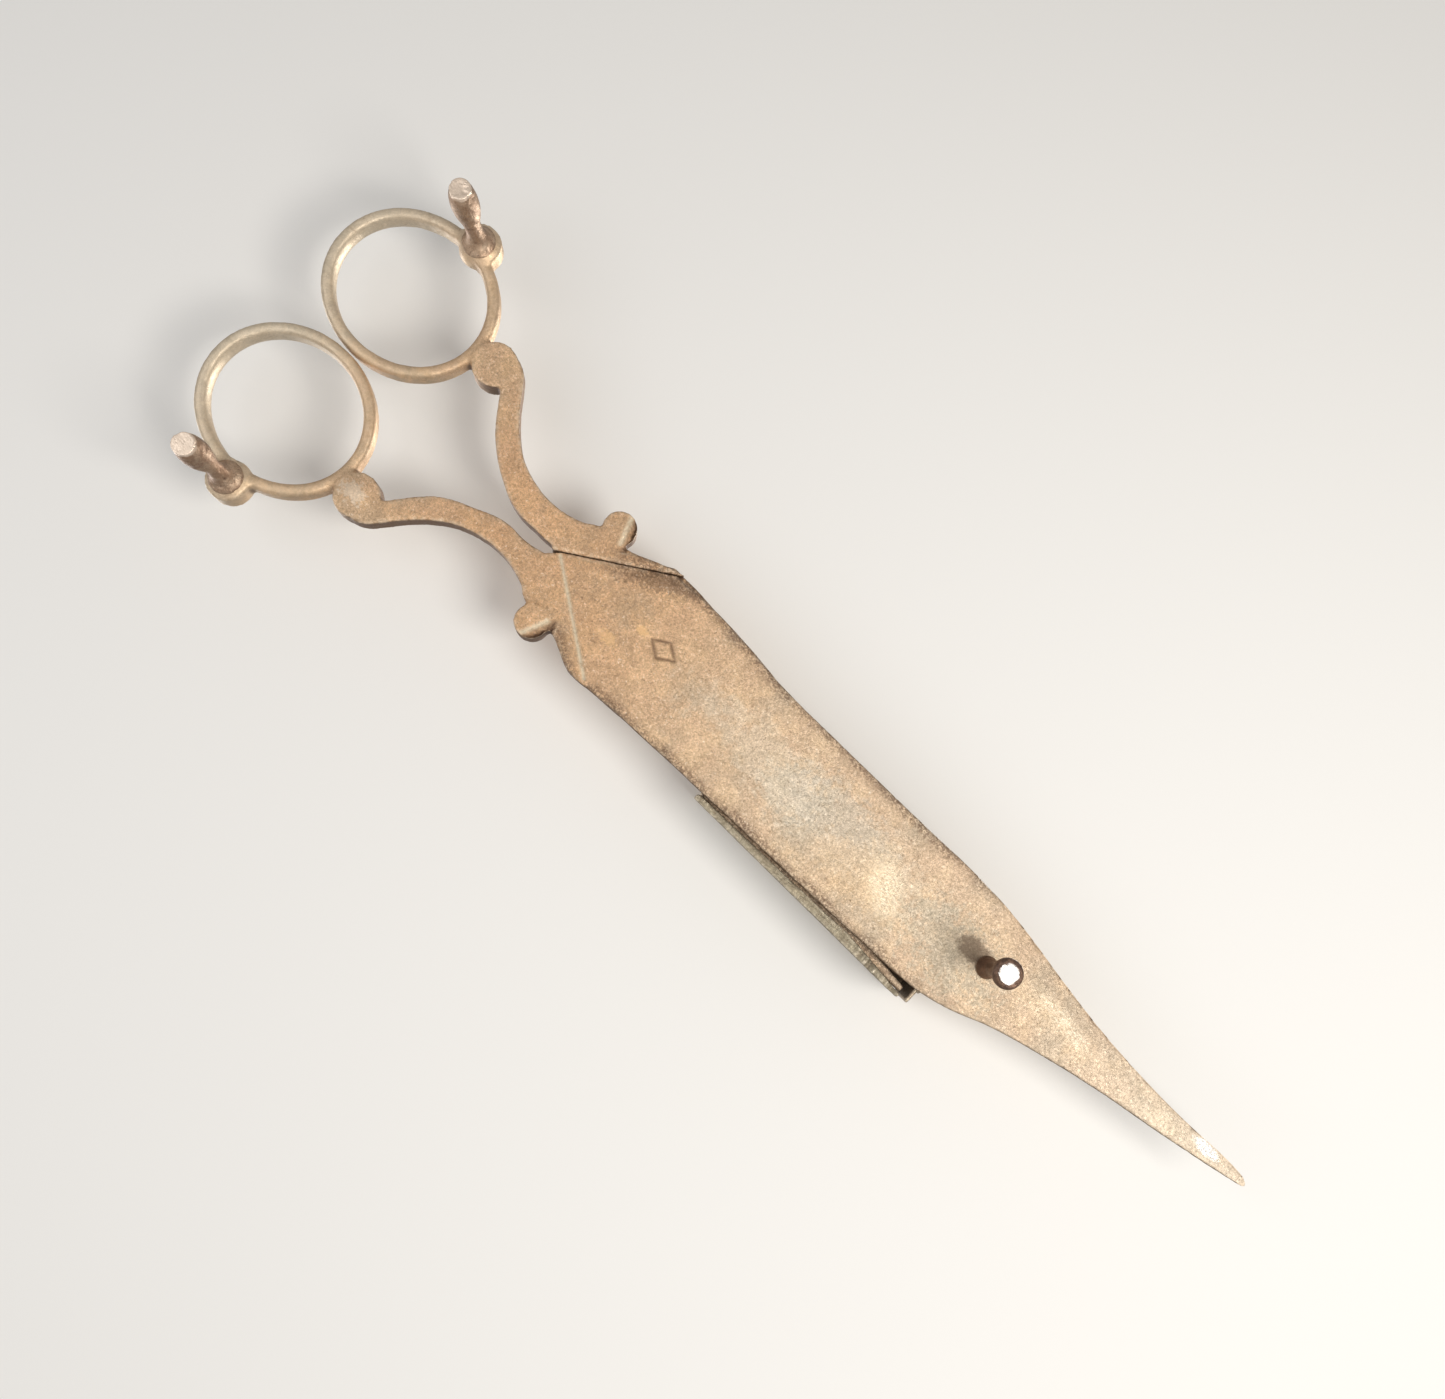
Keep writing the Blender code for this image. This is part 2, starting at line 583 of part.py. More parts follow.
def make_tip_foot():
    """A thin peg with a flat disc to stand on, its tenon riveted over on top of the pan."""
    disc, stem, tenon = TIP_FOOT_DISC_RADIUS, TIP_FOOT_STEM_RADIUS, TENON_RADIUS
    collar = 1.5 * MM
    rivet_seat = PAN_TOP + SEAM
    profile = [(0, rivet_seat + 0.6 * MM), (0.8 * MM, rivet_seat + 0.45 * MM), (1.35 * MM, rivet_seat)]
    profile += [(tenon, rivet_seat), (tenon, UNDERSIDE - SEAM), (collar, UNDERSIDE - SEAM)]
    profile += [(collar * 0.9, UNDERSIDE - 0.9 * MM), (stem, UNDERSIDE - 1.8 * MM), (stem, 2.2 * MM)]
    profile += [(disc * 0.7, 1.6 * MM), (disc, 1.1 * MM), (disc, 0.3 * MM), (disc - 0.3 * MM, 0), (0, 0)]
    foot = turned("tip_foot", profile, steps=24)
    foot.location = (TIP_FOOT_X, TIP_FOOT_Y, 0)
    return foot


def make_ring_foot(name, side):
    """A small baluster peg that leans back and outward, its tenon closed flush on top of the ring's lobe."""
    seat = UNDERSIDE - SEAM
    profile = [(0, ARM_TOP), (TENON_RADIUS, ARM_TOP), (TENON_RADIUS, seat), (1.9 * MM, seat)]
    shares = [(0.93, 1.85), (0.84, 1.5), (0.72, 1.25), (0.58, 1.2), (0.46, 1.35), (0.36, 1.6), (0.24, 1.65)]
    shares += [(0.12, 1.55), (0.03, 1.35)]
    profile += [(radius * MM, share * seat) for share, radius in shares]
    profile += [(1.2 * MM, 0), (0, 0)]
    foot = turned(name, profile, steps=20)
    foot.location = (LOBE_X, side * LOBE_Y, 0)
    form = bmesh.new()
    form.from_mesh(foot.data)
    for vertex in form.verts:
        lean = max(0.0, (seat - vertex.co.z) / seat)
        vertex.co.x -= lean * RING_FOOT_LEAN_BACK
        vertex.co.y += lean * side * RING_FOOT_LEAN_OUT
    form.to_mesh(foot.data)
    form.free()
    return foot


def main():
    clear_scene()
    parts = new_collection("wick_trimmer")
    helpers = new_collection("cutters")

    root = bpy.data.objects.new("assembly", None)
    root.location = (-ORIGIN_X, 0, 0)
    parts.objects.link(root)
    pivot = bpy.data.objects.new("pivot_axis", None)
    pivot.location = (0, 0, PAN_TOP)
    pivot.parent = root
    parts.objects.link(pivot)

    iron = (0.33, 0.26, 0.18)
    dark_iron = (0.2, 0.17, 0.12)
    box_pieces = [
        (make_box_arm(helpers), iron, 0.5),
        (make_box_wall(helpers), dark_iron, 0.5),
        (make_box_roof(helpers), iron, 0.45),
        (make_pivot_screw(helpers), dark_iron, 0.4),
        (make_pivot_washer(), dark_iron, 0.5),
        (make_tip_foot(), (0.45, 0.4, 0.35), 0.35),
        (make_ring_foot("ring_foot_left", BOX_SIDE), dark_iron, 0.5),
    ]
    press_pieces = [
        (make_press_arm(helpers), iron, 0.5),
        (make_press_plate(helpers), dark_iron, 0.5),
        (make_ring_foot("ring_foot_right", PRESS_SIDE), dark_iron, 0.5),
    ]
    for place, (x, y) in rivet_places().items():
        press_pieces.append((make_rivet(place, x, y), dark_iron, 0.5))
    for item, colour, roughness in box_pieces:
        finish_node(item, parts, root, colour, roughness)
    for item, colour, roughness in press_pieces:
        item.location.z -= PAN_TOP
        finish_node(item, parts, pivot, colour, roughness)
    for tool in helpers.objects:
        tool.parent = root


main()
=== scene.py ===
"""Looks of an antique scissor-type candle snuffer (wick trimmer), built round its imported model.

Pieces are shaped in millimetres measured from the pivot's axis, with the feet on Z = 0 and the tip along +X.
The last step of each moves it to its place in the frame, in metres. The camera looks up from below, because
the snuffer lies upside down on its box, so one pale surface is above it and another is under its feet.
"""

import json
import math

import bmesh
import bpy
import numpy as np
from mathutils import Matrix, Vector, noise

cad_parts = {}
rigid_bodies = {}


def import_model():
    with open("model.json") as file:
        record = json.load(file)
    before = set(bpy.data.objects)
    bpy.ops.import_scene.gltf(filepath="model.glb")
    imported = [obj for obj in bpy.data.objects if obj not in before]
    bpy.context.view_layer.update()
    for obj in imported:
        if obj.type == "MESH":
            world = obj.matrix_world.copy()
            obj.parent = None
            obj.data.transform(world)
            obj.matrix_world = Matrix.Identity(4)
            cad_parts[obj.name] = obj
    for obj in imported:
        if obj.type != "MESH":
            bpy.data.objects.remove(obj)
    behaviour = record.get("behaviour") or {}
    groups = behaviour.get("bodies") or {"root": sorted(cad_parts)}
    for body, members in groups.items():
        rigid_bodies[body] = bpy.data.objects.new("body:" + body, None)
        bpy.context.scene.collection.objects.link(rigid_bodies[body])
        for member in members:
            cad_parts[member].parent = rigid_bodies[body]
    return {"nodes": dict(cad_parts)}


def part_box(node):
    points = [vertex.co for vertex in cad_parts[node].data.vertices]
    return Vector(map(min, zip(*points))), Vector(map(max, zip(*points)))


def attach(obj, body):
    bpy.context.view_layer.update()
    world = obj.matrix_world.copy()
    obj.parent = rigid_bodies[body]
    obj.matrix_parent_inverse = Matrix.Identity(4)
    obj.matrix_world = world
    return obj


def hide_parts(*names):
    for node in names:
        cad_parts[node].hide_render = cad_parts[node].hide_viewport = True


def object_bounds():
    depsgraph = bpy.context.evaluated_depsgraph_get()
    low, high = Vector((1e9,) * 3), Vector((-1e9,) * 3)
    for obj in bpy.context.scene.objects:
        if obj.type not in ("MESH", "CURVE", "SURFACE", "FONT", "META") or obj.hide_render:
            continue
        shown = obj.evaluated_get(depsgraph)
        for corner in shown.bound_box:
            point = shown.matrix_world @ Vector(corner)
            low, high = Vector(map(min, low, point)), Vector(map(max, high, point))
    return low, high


for item in list(bpy.data.objects):
    bpy.data.objects.remove(item, do_unlink=True)
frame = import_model()
cad_low, cad_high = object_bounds()

PER_METRE = 1000.0
BOX_SIDE = 1
PRESS_SIDE = -1

screw_low, screw_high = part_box("pivot_screw")
PIVOT = Vector(((screw_low.x + screw_high.x) / 2, (screw_low.y + screw_high.y) / 2, 0))


def box_mm(node):
    """A node's lowest and highest corner, in millimetres from the pivot's axis."""
    low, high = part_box(node)
    return (low - PIVOT) * PER_METRE, (high - PIVOT) * PER_METRE


arm_low, arm_high = box_mm("box_arm")
wall_low, wall_high = box_mm("box_wall")
plate_low, _ = box_mm("press_plate")
tip_foot_low, tip_foot_high = box_mm("tip_foot")

# How far the CAD's scroll knobs and junction lobes stand out beyond an arm's flat faces.
PROUD = 0.2
UNDERSIDE = arm_low.z + PROUD
ARM_TOP = arm_high.z - PROUD
PAN_THICKNESS = 1.6
PAN_TOP = UNDERSIDE + PAN_THICKNESS
RING_RADIUS_X = 12.6
RING_RADIUS_Y = 11.3
RING_BAND = 1.75
RING_X = arm_low.x + RING_RADIUS_X
RINGS_MEET_Y = -0.3
RING_GAP = 0.3
RING_Y = RING_RADIUS_Y + RING_GAP / 2
SHANKS_START_X = -44.0
JUNCTION_X = -44.15
JUNCTION_Y = 12.7
LOBE_OFFSET_X = 1.8
LOBE_X = RING_X + LOBE_OFFSET_X
LOBE_Y = 23.0
SCROLL = {BOX_SIDE: (-16.1, 8.35), PRESS_SIDE: (-16.65, -8.65)}
TIP_FOOT = ((tip_foot_low.x + tip_foot_high.x) / 2, (tip_foot_low.y + tip_foot_high.y) / 2)


# Mesh tools


def coordinates(mesh):
    flat = np.empty(len(mesh.vertices) * 3, np.float32)
    mesh.vertices.foreach_get("co", flat)
    return flat.reshape(-1, 3).astype(float)


def normals(mesh):
    flat = np.empty(len(mesh.vertices) * 3, np.float32)
    mesh.vertices.foreach_get("normal", flat)
    return flat.reshape(-1, 3).astype(float)


def set_coordinates(mesh, points):
    mesh.vertices.foreach_set("co", np.asarray(points, np.float32).ravel())
    mesh.update()


def edge_ends(mesh):
    ends = np.empty(len(mesh.edges) * 2, np.int32)
    mesh.edges.foreach_get("vertices", ends)
    return ends.reshape(-1, 2)


def neighbour_mean(ends, values):
    """Mean of each vertex's neighbours, one column at a time."""
    count = len(values)
    first, second = ends[:, 0], ends[:, 1]
    degree = np.bincount(first, minlength=count) + np.bincount(second, minlength=count)
    columns = []
    for column in np.atleast_2d(values.T):
        total = np.bincount(first, column[second], count) + np.bincount(second, column[first], count)
        columns.append(total / np.maximum(degree, 1))
    return np.array(columns).T.reshape(values.shape)


def relax(mesh, rounds):
    """Evens a surface out without shrinking it, by smoothing steps in turn inward and outward."""
    ends, points = edge_ends(mesh), coordinates(mesh)
    for _ in range(rounds):
        for share in (0.5, -0.52):
            points += share * (neighbour_mean(ends, points) - points)
    set_coordinates(mesh, points)


def new_object(name, mesh):
    made = bpy.data.objects.new(name, mesh)
    bpy.context.scene.collection.objects.link(made)
    return made


def solid_from_node(form, node):
    """Adds a copy of a CAD node's solid to a bmesh, in millimetres from the pivot's axis."""
    mesh = frame["nodes"][node].data.copy()
    mesh.transform(Matrix.Scale(PER_METRE, 4) @ Matrix.Translation(-PIVOT))
    form.from_mesh(mesh)
    bpy.data.meshes.remove(mesh)


def forged(form, voxel, rounds):
    """One even quad mesh round everything in the bmesh, with its edges a little rounded."""
    rough = bpy.data.meshes.new("rough")
    form.to_mesh(rough)
    form.free()
    holder = new_object("rough", rough)
    remesh = holder.modifiers.new("shell", "REMESH")
    remesh.mode = "VOXEL"
    remesh.voxel_size = voxel
    bpy.context.view_layer.update()
    graph = bpy.context.evaluated_depsgraph_get()
    mesh = bpy.data.meshes.new_from_object(holder.evaluated_get(graph))
    bpy.data.objects.remove(holder)
    bpy.data.meshes.remove(rough)
    relax(mesh, rounds)
    return mesh


def refine(mesh, wanted):
    """Halves the faces whose middle the test wants, for narrow grooves."""
    form = bmesh.new()
    form.from_mesh(mesh)
    edges = {edge for face in form.faces if wanted(face.calc_center_median()) for edge in face.edges}
    bmesh.ops.subdivide_edges(form, edges=list(edges), cuts=1, use_grid_fill=True)
    form.to_mesh(mesh)
    form.free()


def bridged(rings):
    """A solid through rings of points, with its two ends filled."""
    form = bmesh.new()
    loops = [[form.verts.new(point) for point in ring] for ring in rings]
    for lower, upper in zip(loops, loops[1:]):
        for i in range(len(lower)):
            j = (i + 1) % len(lower)
            form.faces.new((lower[i], lower[j], upper[j], upper[i]))
    form.faces.new(loops[0])
    form.faces.new(reversed(loops[-1]))
    bmesh.ops.recalc_face_normals(form, faces=form.faces)
    return form


def add_band(form, side):
    """A finger ring: a flat hoop whose section is a rectangle with rounded corners."""
    corner, corner_steps, stations = 0.75, 3, 120
    half_width, half_height = RING_BAND / 2 - corner, (ARM_TOP - UNDERSIDE) / 2 - corner
    section = []
    for quarter, (u, v) in enumerate([(1, 1), (-1, 1), (-1, -1), (1, -1)]):
        for step in range(corner_steps + 1):
            turn = math.pi / 2 * (quarter + step / corner_steps)
            across, up = corner * math.cos(turn), corner * math.sin(turn)
            section.append((u * half_width + across, v * half_height + up))
    ring_y, middle_z = RINGS_MEET_Y + side * RING_Y, (ARM_TOP + UNDERSIDE) / 2
    radius_x, radius_y = RING_RADIUS_X - RING_BAND / 2, RING_RADIUS_Y - RING_BAND / 2
    loops = []
    for station in range(stations):
        turn = 2 * math.pi * station / stations
        cosine, sine = math.cos(turn), math.sin(turn)
        points = [
            (RING_X + (radius_x + out) * cosine, ring_y + (radius_y + out) * sine, middle_z + up)
            for out, up in section
        ]
        loops.append([form.verts.new(point) for point in points])
    for station in range(stations):
        here, there = loops[station], loops[(station + 1) % stations]
        for i in range(len(section)):
            j = (i + 1) % len(section)
            form.faces.new((here[i], here[j], there[j], there[i]))


def add_dome(form, centre, radii):
    """A squashed ball with its own bottom and top."""
    made = bmesh.ops.create_uvsphere(form, u_segments=32, v_segments=20, radius=1.0)
    shape = Matrix.Translation(centre) @ Matrix.Diagonal((*radii, 1))
    bmesh.ops.transform(form, matrix=shape, verts=made["verts"])


def smooth_step(value, low, high):
    share = np.clip((value - low) / (high - low), 0, 1)
    return share * share * (3 - 2 * share)


def line_distance(points, start, end):
    """How far points are from a flat line piece, in the XY plane."""
    start, end = np.array(start[:2], float), np.array(end[:2], float)
    along = end - start
    share = np.clip(((points[:, :2] - start) @ along) / (along @ along), 0, 1)
    return np.linalg.norm(points[:, :2] - start - share[:, None] * along, axis=1)


def sample_noise(points, per_mm, offset):
    """Smooth noise at each point, from -1 to 1, with features about 1 / per_mm across."""
    shift = Vector((offset, -offset * 0.7, offset * 1.3))
    return np.array([noise.noise(Vector(point) * per_mm + shift) for point in points])


def weather(mesh, swell, pits, seed):
    """Gives a surface the slow waves of forging and the shallow pits of old rust."""
    waves_per_mm, pits_per_mm, small_pits_per_mm = 0.22, 0.95, 2.1
    points, out = coordinates(mesh), normals(mesh)
    waves = sample_noise(points, waves_per_mm, seed) * swell
    large = sample_noise(points, pits_per_mm, seed + 31)
    small = sample_noise(points, small_pits_per_mm, seed + 57)
    pit_noise = large + 0.55 * small
    depth = smooth_step(pit_noise, 0.18, 0.75) * pits + np.clip(pit_noise, -1, 1) * pits * 0.2
    set_coordinates(mesh, points + out * (waves - depth)[:, None])


def store(mesh, name, values):
    layer = mesh.attributes.new(name, "FLOAT", "POINT")
    layer.data.foreach_set("value", values.astype(np.float32))


def spread(ends, values, rounds, share):
    """Mixes each value with its neighbours' mean, several times over."""
    for _ in range(rounds):
        values = (1 - share) * values + share * neighbour_mean(ends, values)
    return values


def mark_wear_and_shade(mesh):
    """Stores how much each point stands out (edge), is near such an edge (rim), sits in a hollow (concave)
    or faces sideways (side); the last one places painted shade on the sideways faces."""
    ends, points, out = edge_ends(mesh), coordinates(mesh), normals(mesh)
    length = np.linalg.norm(points[ends[:, 0]] - points[ends[:, 1]], axis=1).mean()
    bend = -((neighbour_mean(ends, points) - points) * out).sum(axis=1) / length
    bend = spread(ends, bend, 2, 0.5)
    facing = spread(ends, np.abs(out[:, 2]), 2, 0.5)
    edge = smooth_step(bend, 0.03, 0.16)
    layers = {
        "edge": edge,
        "rim": smooth_step(spread(ends, edge, 24, 0.65), 0.015, 0.2),
        "concave": smooth_step(-bend, 0.015, 0.12),
        "side": 1 - smooth_step(facing, 0.25, 0.8),
    }
    for name, values in layers.items():
        store(mesh, name, values)


def finish_piece(name, mesh, body, slot, material, *nodes):
    """Moves a shaped mesh to its place in the frame and makes it a piece that stands for CAD nodes."""
    mark_wear_and_shade(mesh)
    mesh.transform(Matrix.Translation(PIVOT) @ Matrix.Scale(1 / PER_METRE, 4))
    mesh.materials.clear()
    mesh.materials.append(material)
    mesh.shade_smooth()
    mesh.name = name
    made = new_object(name, mesh)
    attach(made, body)
    if nodes:
        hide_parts(*nodes)


def to_mesh(form):
    mesh = bpy.data.meshes.new("shape")
    form.to_mesh(mesh)
    form.free()
    return mesh


def curve_point(before, here, there, after, t):
    """The point at share t of a smooth curve from here to there, between its neighbours before and after."""
    return tuple(
        0.5 * (2 * b + (c - a) * t + (2 * a - 5 * b + 4 * c - d) * t**2 + (3 * b - a - 3 * c + d) * t**3)
        for a, b, c, d in zip(before, here, there, after)
    )


def spun(profile, centre, steps):
    """A turned solid from (radius, height) pairs, from its top to its bottom, through a smooth curve."""
    curve_steps, least_radius = 4, 0.02
    padded = [profile[0], *profile, profile[-1]]
    fine = [
        curve_point(*padded[i : i + 4], step / curve_steps)
        for i in range(len(profile) - 1)
        for step in range(curve_steps)
    ]
    turns = [2 * math.pi * step / steps for step in range(steps)]
    rings = []
    for radius, height in [*fine, profile[-1]]:
        radius = max(radius, least_radius)
        ring = [(centre[0] + radius * math.cos(t), centre[1] + radius * math.sin(t), height) for t in turns]
        rings.append(ring)
    return to_mesh(bridged(rings))


# Materials


def add(tree, kind, sockets=None, **settings):
    made = tree.nodes.new(kind)
    for name, value in settings.items():
        setattr(made, name, value)
    for key, value in (sockets or {}).items():
        if isinstance(value, bpy.types.NodeSocket):
            tree.links.new(value, made.inputs[key])
        else:
            made.inputs[key].default_value = value
    return made


def reach(tree, value, low, high):
    """0 below low, 1 above high and smooth between; low may be the larger."""
    sockets = {"Value": value, "From Min": low, "From Max": high}
    return add(tree, "ShaderNodeMapRange", sockets, interpolation_type="SMOOTHSTEP").outputs["Result"]


def maths(tree, operation, first, second=0.0):
    return add(tree, "ShaderNodeMath", {0: first, 1: second}, operation=operation).outputs[0]


def blend(tree, share, first, second, kind="MIX"):
    sockets = {0: share, 6: first, 7: second}
    return add(tree, "ShaderNodeMix", sockets, data_type="RGBA", blend_type=kind).outputs[2]


def grain(tree, place, scale, detail=3.0, rough=0.55, stretch=None, turn=0.0, distortion=0.0):
    """Noise over the surface, in features per millimetre; stretch draws it out along one way."""
    if stretch:
        sockets = {"Vector": place, "Rotation": (0, 0, turn), "Scale": stretch}
        place = add(tree, "ShaderNodeMapping", sockets).outputs[0]
    sockets = {"Vector": place, "Scale": scale, "Detail": detail}
    sockets |= {"Roughness": rough, "Distortion": distortion}
    return add(tree, "ShaderNodeTexNoise", sockets).outputs[0]


def near(tree, place, centre, radii, turn=0.0):
    """How far a point is from a spot, in spot radii, in the XY plane."""
    offset = add(tree, "ShaderNodeVectorMath", {0: place, 1: (*centre, 0)}, operation="SUBTRACT").outputs[0]
    shape = {"Vector": offset, "Rotation": (0, 0, turn)}
    turned_offset = add(tree, "ShaderNodeMapping", shape).outputs[0]
    scaled = {0: turned_offset, 1: (1 / radii[0], 1 / radii[1], 0)}
    flat = add(tree, "ShaderNodeVectorMath", scaled, operation="MULTIPLY").outputs[0]
    return add(tree, "ShaderNodeVectorMath", {0: flat}, operation="LENGTH").outputs["Value"]


def attribute(tree, name):
    return add(tree, "ShaderNodeAttribute", attribute_name=name).outputs["Fac"]


def colour(red, green, blue):
    return (red, green, blue, 1)


class PatinaAndPaintedLight:
    """An old forged surface: its tone, speckle, pits, worn edges, darker hollows and painted shade on its
    sides, built up in one node tree.
    """

    def __init__(self, name, metallic, smooth_rings=False):
        self.material = bpy.data.materials.new(name)
        self.material.use_nodes = True
        self.tree = self.material.node_tree
        self.shader = self.tree.nodes["Principled BSDF"]
        self.shader.inputs["Metallic"].default_value = metallic
        spot = add(self.tree, "ShaderNodeTexCoord").outputs["Object"]
        to_mm = {"Vector": spot, "Location": -PIVOT * PER_METRE, "Scale": (PER_METRE,) * 3}
        self.place = add(self.tree, "ShaderNodeMapping", to_mm).outputs[0]
        parts = add(self.tree, "ShaderNodeSeparateXYZ", {0: self.place})
        self.x, self.z = parts.outputs["X"], parts.outputs["Z"]
        self.edge = attribute(self.tree, "edge")
        self.concave = attribute(self.tree, "concave")
        self.side = attribute(self.tree, "side")
        self.rim = attribute(self.tree, "rim")
        self.smooth_rings = smooth_rings

    def mix_in(self, tint, mask, share):
        """Mixes in a tint where the mask is; returns how much of it went in."""
        amount = maths(self.tree, "MULTIPLY", mask, share)
        self.colour = blend(self.tree, amount, self.colour, tint)
        return amount

    def tone(self, first, second, third, coarse, fine):
        """Lays down the ground colour: two tones in wide clouds, with smaller patches of a third."""
        wide = reach(self.tree, grain(self.tree, self.place, coarse, 2), 0.36, 0.66)
        self.colour = blend(self.tree, wide, first, second)
        patches = reach(self.tree, grain(self.tree, self.place, fine, 4, 0.6), 0.42, 0.68)
        self.colour = blend(self.tree, patches, self.colour, third)

    def tone_along(self, stops, low, high):
        """Tints the colour by how far a point is along X."""
        ramp = add(self.tree, "ShaderNodeValToRGB")
        span = {"Value": self.x, "From Min": low, "From Max": high}
        share = add(self.tree, "ShaderNodeMapRange", span).outputs["Result"]
        self.tree.links.new(share, ramp.inputs[0])
        points = ramp.color_ramp.elements
        while len(points) < len(stops):
            points.new(1.0)
        for point, (where, tint) in zip(points, stops):
            point.position = (where - low) / (high - low)
            point.color = tint
        self.colour = blend(self.tree, 1.0, self.colour, ramp.outputs[0], "MULTIPLY")

    def fade_to(self, tint, start, stop, share):
        """Mixes in a tint more and more from one place along X to another."""
        self.mix_in(tint, reach(self.tree, self.x, start, stop), share)

    def off_the_rings(self):
        """0 on the finger rings, rising to 1 where the shanks begin."""
        return reach(self.tree, self.x, SHANKS_START_X - 8, SHANKS_START_X)

    def speckle(self, tint, scale, low, high, share, calm_rings=False):
        """Mixes in a tint in small spots, with none on the finger rings if asked."""
        spots = reach(self.tree, grain(self.tree, self.place, scale, 4, 0.7, distortion=1.4), low, high)
        if calm_rings:
            spots = maths(self.tree, "MULTIPLY", spots, self.off_the_rings())
        self.mix_in(tint, spots, share)

    def mottle(self, scale, low, high, calm_rings=False):
        """Makes the colour darker and lighter in small grains, more weakly on the finger rings if asked."""
        grains = reach(self.tree, grain(self.tree, self.place, scale, 6, 0.85, distortion=0.6), 0.3, 0.7)
        if calm_rings:
            rough = maths(self.tree, "MAXIMUM", self.off_the_rings(), 0.35)
            swing = maths(self.tree, "MULTIPLY", maths(self.tree, "SUBTRACT", grains, 0.5), rough)
            grains = maths(self.tree, "ADD", swing, 0.5)
        shade = blend(self.tree, grains, colour(low, low, low * 0.97), colour(high, high, high))
        self.colour = blend(self.tree, 1.0, self.colour, shade, "MULTIPLY")

    def spot(self, centre, radii, tint, share, ragged=0.5, scale=1.2, turn=0.0, stretch=None):
        """Mixes in a tint near one place, in streaks if stretch is given; returns its mask."""
        distance = near(self.tree, self.place, centre, radii, turn)
        noise_here = grain(self.tree, self.place, scale, 4, 0.65, stretch, turn)
        wobble = maths(self.tree, "MULTIPLY", maths(self.tree, "SUBTRACT", noise_here, 0.5), ragged * 4)
        mask = reach(self.tree, maths(self.tree, "ADD", distance, wobble), 1.15, 0.55)
        if stretch:
            mask = maths(self.tree, "MULTIPLY", mask, reach(self.tree, noise_here, 0.42, 0.62))
        self.mix_in(tint, mask, share)
        return mask

    def wear_and_shade_sides(self, pale, brown, side_shade_tint, shares, side_shade_from=None, rim_share=0.3, rim_span=None):
        """Paints shade on the sideways faces, brightens the edges, and browns the corners and a dotted band
        by the edges.

        The three shares are for the edges, the corners and the painted shade on the sides; the side shade's
        start and the rim span limit that shade and the band along X.
        """
        pale_share, brown_share, side_shade_share = shares
        sides = self.side
        if side_shade_from is not None:
            sides = maths(self.tree, "MULTIPLY", sides, reach(self.tree, self.x, side_shade_from, side_shade_from + 5))
        # Painted shade: the faces that look sideways are darkened.
        self.mix_in(side_shade_tint, sides, side_shade_share)
        broken = reach(self.tree, grain(self.tree, self.place, 1.6, 3), 0.35, 0.6)
        self.worn = self.mix_in(pale, maths(self.tree, "MULTIPLY", self.edge, broken), pale_share)
        # Darker, browner hollows where the surface curves inward.
        self.mix_in(brown, self.concave, brown_share)
        dots = reach(self.tree, grain(self.tree, self.place, 2.4, 5, 0.75, distortion=1.0), 0.40, 0.56)
        dotted = maths(self.tree, "MULTIPLY", self.rim, dots)
        if rim_span:
            start, stop = rim_span
            dotted = maths(self.tree, "MULTIPLY", dotted, reach(self.tree, self.x, start, start + 10))
            dotted = maths(self.tree, "MULTIPLY", dotted, reach(self.tree, self.x, stop, stop - 22))
        self.mix_in(brown, dotted, rim_share)

    def finish(self, rough_low, rough_high, fine, fine_depth, pit_depth=0.02, scratch_depth=0.0, shiny=None):
        """Joins up the colour, the roughness and the bumps: fine grain, rust pits and scratches."""
        tree = self.tree
        tree.links.new(self.colour, self.shader.inputs["Base Color"])
        uneven = reach(tree, grain(tree, self.place, 0.8, 4, 0.65), 0.3, 0.7)
        span = {"Value": uneven, "To Min": rough_low, "To Max": rough_high}
        rough = add(tree, "ShaderNodeMapRange", span).outputs["Result"]
        rough = maths(tree, "SUBTRACT", rough, maths(tree, "MULTIPLY", self.worn, 0.15))
        if shiny:
            rough = maths(tree, "SUBTRACT", rough, maths(tree, "MULTIPLY", shiny, 0.3))
        tree.links.new(maths(tree, "MAXIMUM", rough, 0.12), self.shader.inputs["Roughness"])
        small = maths(tree, "MULTIPLY", grain(tree, self.place, fine, 5, 0.7, distortion=1.2), fine_depth)
        if self.smooth_rings:
            calmed = maths(tree, "MAXIMUM", reach(tree, self.x, -56.0, -40.0), 0.3)
            small = maths(tree, "MULTIPLY", small, calmed)
        cells = add(tree, "ShaderNodeTexVoronoi", {"Vector": self.place, "Scale": 2.4, "Randomness": 1.0})
        hollows = reach(tree, cells.outputs["Distance"], 0.1, 0.42)
        rusted = reach(tree, grain(tree, self.place, 0.35, 3), 0.42, 0.62)
        pits = maths(tree, "MULTIPLY", maths(tree, "MULTIPLY", hollows, rusted), pit_depth)
        height = maths(tree, "ADD", small, pits)
        if scratch_depth:
            lines = grain(tree, self.place, 1.0, 2, 0.5, (0.25, 5.0, 1.0), 0.12)
            height = maths(tree, "ADD", height, maths(tree, "MULTIPLY", lines, scratch_depth))
        bump = add(tree, "ShaderNodeBump", {"Strength": 1.0, "Distance": 0.001, "Height": height})
        tree.links.new(bump.outputs[0], self.shader.inputs["Normal"])
        return self.material


